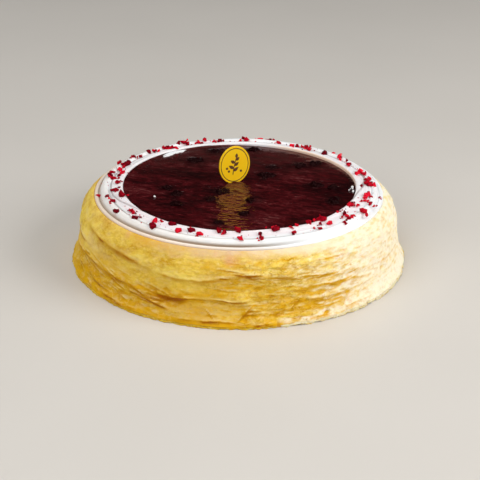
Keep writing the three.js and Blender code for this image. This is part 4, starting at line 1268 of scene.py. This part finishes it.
tag = {
    "width": 22.4, "height": 26.8, "thickness": 0.9, "sunk": 0.8, "stemWidth": 4.0,
    "stemTaper": 0.6, "x": -3.2, "y": 7.6, "turn": 23, "edge": 0.18,
    # its print: an oval line, a sprig from its foot to its tip, leaves up the stem, and three dots
    "inkHeight": 0.04, "border": 1.1, "line": 0.5, "sprigFoot": (-1.2, 6.5), "sprigReach": (2.4, 12.0),
    "stemHalf": 0.28, "leaves": [(0.2, 1), (0.36, -1), (0.52, 1), (0.68, -1), (0.84, 1)],
    "leafSize": (5.2, 2.3), "leafTurn": 0.95, "tipLeaf": (1.2, 18.3, 0.1, 3.4, 2.0),
    "dots": [(-4.2, 9.2), (-5.6, 11.4), (4.6, 8.6)], "dotRadius": 0.85,
}


def tagPlace(points):
    # from the card's own plane (across, up, out of its face) to its place in the glaze
    turn = math.radians(tag["turn"])
    points = np.asarray(points, float)
    across, up, out = points[:, 0], points[:, 1], points[:, 2]
    return np.column_stack([
        tag["x"] + across * math.cos(turn) + out * math.sin(turn),
        tag["y"] + across * math.sin(turn) - out * math.cos(turn),
        up + glaze["level"] - tag["sunk"]])


def makeTag():
    # Injection moulded yellow plastic card, smooth, with a soft gloss.
    card = mottledMaterial(
        "polystyrene card, moulded, yellow", "ffc80a", "ffd60c", 160.0, Roughness=0.32, IOR=1.52)
    halfWidth, halfHeight = tag["width"] / 2, tag["height"] / 2
    opening = math.asin(tag["stemWidth"] / 2 / halfWidth)
    foot = glaze["seat"] - glaze["level"] + tag["sunk"]
    ovalTurn = np.linspace(opening - math.pi / 2, 1.5 * math.pi - opening, 120)
    outline = [(halfWidth * math.cos(t), halfHeight + halfHeight * math.sin(t)) for t in ovalTurn]
    outline = np.array(outline + [(-tag["stemTaper"], foot), (tag["stemTaper"], foot)])
    inward = np.array([0, halfHeight]) - outline
    inward /= np.linalg.norm(inward, axis=1)[:, None]
    half, edge = tag["thickness"] / 2, tag["edge"]
    # a rounded edge: rings from the back face over the rim to the front face
    rings = []
    for turn in np.linspace(-math.pi / 2, math.pi / 2, 7):
        shrunk = outline + inward * edge * (1 - math.cos(turn))
        out = (half - edge) * np.sign(turn) + edge * math.sin(turn)
        rings.append(np.column_stack([shrunk, np.full(len(outline), out)]))
    count = len(outline)
    last = (len(rings) - 1) * count
    around = [(step, (step + 1) % count) for step in range(count)]
    faces = [(low + step, low + after, low + count + after, low + count + step)
             for low in range(0, last, count) for step, after in around]
    faces += [tuple(reversed(range(count))), tuple(range(last, last + count))]
    piece = meshPiece("cakeTag", tagPlace(np.vstack(rings)), faces, card)
    for polygon in piece.data.polygons:
        polygon.use_smooth = len(polygon.vertices) == 4
    print("tag stands in the glaze")
    return settle(piece, ["cake_tag"])


def leafOutline(x, y, turn, long, wide):
    shape = []
    for side in (1, -1):
        for share in np.linspace(0, 1, 9)[:-1] if side == 1 else np.linspace(1, 0, 9)[:-1]:
            along, across = long * share, side * wide / 2 * math.sin(math.pi * share ** 0.8)
            shape.append((x + along * math.cos(turn) - across * math.sin(turn),
                          y + along * math.sin(turn) + across * math.cos(turn)))
    return shape


def printOutlines():
    # outlines in the card's plane of an oval line, and of a sprig with leaves and three dots
    halfWidth, halfHeight = tag["width"] / 2, tag["height"] / 2
    outer, inner = [(1 - border / halfWidth) * np.array([halfWidth, halfHeight])
                    for border in (tag["border"], tag["border"] + tag["line"])]
    turns = np.linspace(0, fullTurn, 97)
    outlines = []
    for first, after in zip(turns[:-1], turns[1:]):
        corners = [(outer, first), (outer, after), (inner, after), (inner, first)]
        outlines.append([(size[0] * math.cos(t), halfHeight + size[1] * math.sin(t)) for size, t in corners])
    (footX, footY), (reachX, reachY), half = tag["sprigFoot"], tag["sprigReach"], tag["stemHalf"]
    stem = [(footX + reachX * t ** 1.5, footY + reachY * t) for t in np.linspace(0, 1, 13)]
    outlines.append([(x + half, y) for x, y in stem] + [(x - half, y) for x, y in reversed(stem)])
    long, wide = tag["leafSize"]
    for share, side in tag["leaves"]:
        x, y = footX + reachX * share ** 1.5, footY + reachY * share
        outlines.append(leafOutline(x, y, math.pi / 2 - side * tag["leafTurn"], long - 2.0 * share, wide))
    x, y, lean, long, wide = tag["tipLeaf"]
    outlines.append(leafOutline(x, y, math.pi / 2 - lean, long, wide))
    radius = tag["dotRadius"]
    for x, y in tag["dots"]:
        outlines.append([(x + radius * math.cos(t), y + radius * math.sin(t))
                         for t in np.linspace(0, fullTurn, 17)[:-1]])
    return outlines


def makePrint():
    # Matt brown screen ink; each outline is a thin closed shape of it on the card.
    ink = mottledMaterial("screen ink, brown", "54301a", "6b4024", 1500.0, Roughness=0.5, IOR=1.5)
    low, high = tag["thickness"] / 2 - 0.02, tag["thickness"] / 2 + tag["inkHeight"]
    points, faces = [], []
    for outline in printOutlines():
        start, count = len(points), len(outline)
        points += [(x, y, low) for x, y in outline] + [(x, y, high) for x, y in outline]
        shape = [(i, (i + 1) % count, (i + 1) % count + count, i + count) for i in range(count)]
        shape += [tuple(reversed(range(count))), tuple(range(count, 2 * count))]
        faces += [tuple(index + start for index in face) for face in shape]
    piece = meshPiece("tagPrint", tagPlace(points), faces, ink, smooth=False)
    return settle(piece, ["cake_tag"])


def makeFinish():
    crepe, whipped = crepeMaterial(), creamMaterial()
    places, turns, scales = crumbPlaces()
    outward, level = makeStack(crepe)
    makeHem(crepe, outward, level)
    makeCream(whipped, places)
    makeCrumbs(crumbMaterial(), places, turns, scales)
    makeGlaze(glazeMaterial())
    makeSmears(whipped)
    makeBerries()
    makeTag()
    makePrint()


makeCamera()
makeStudio()
makeFinish()
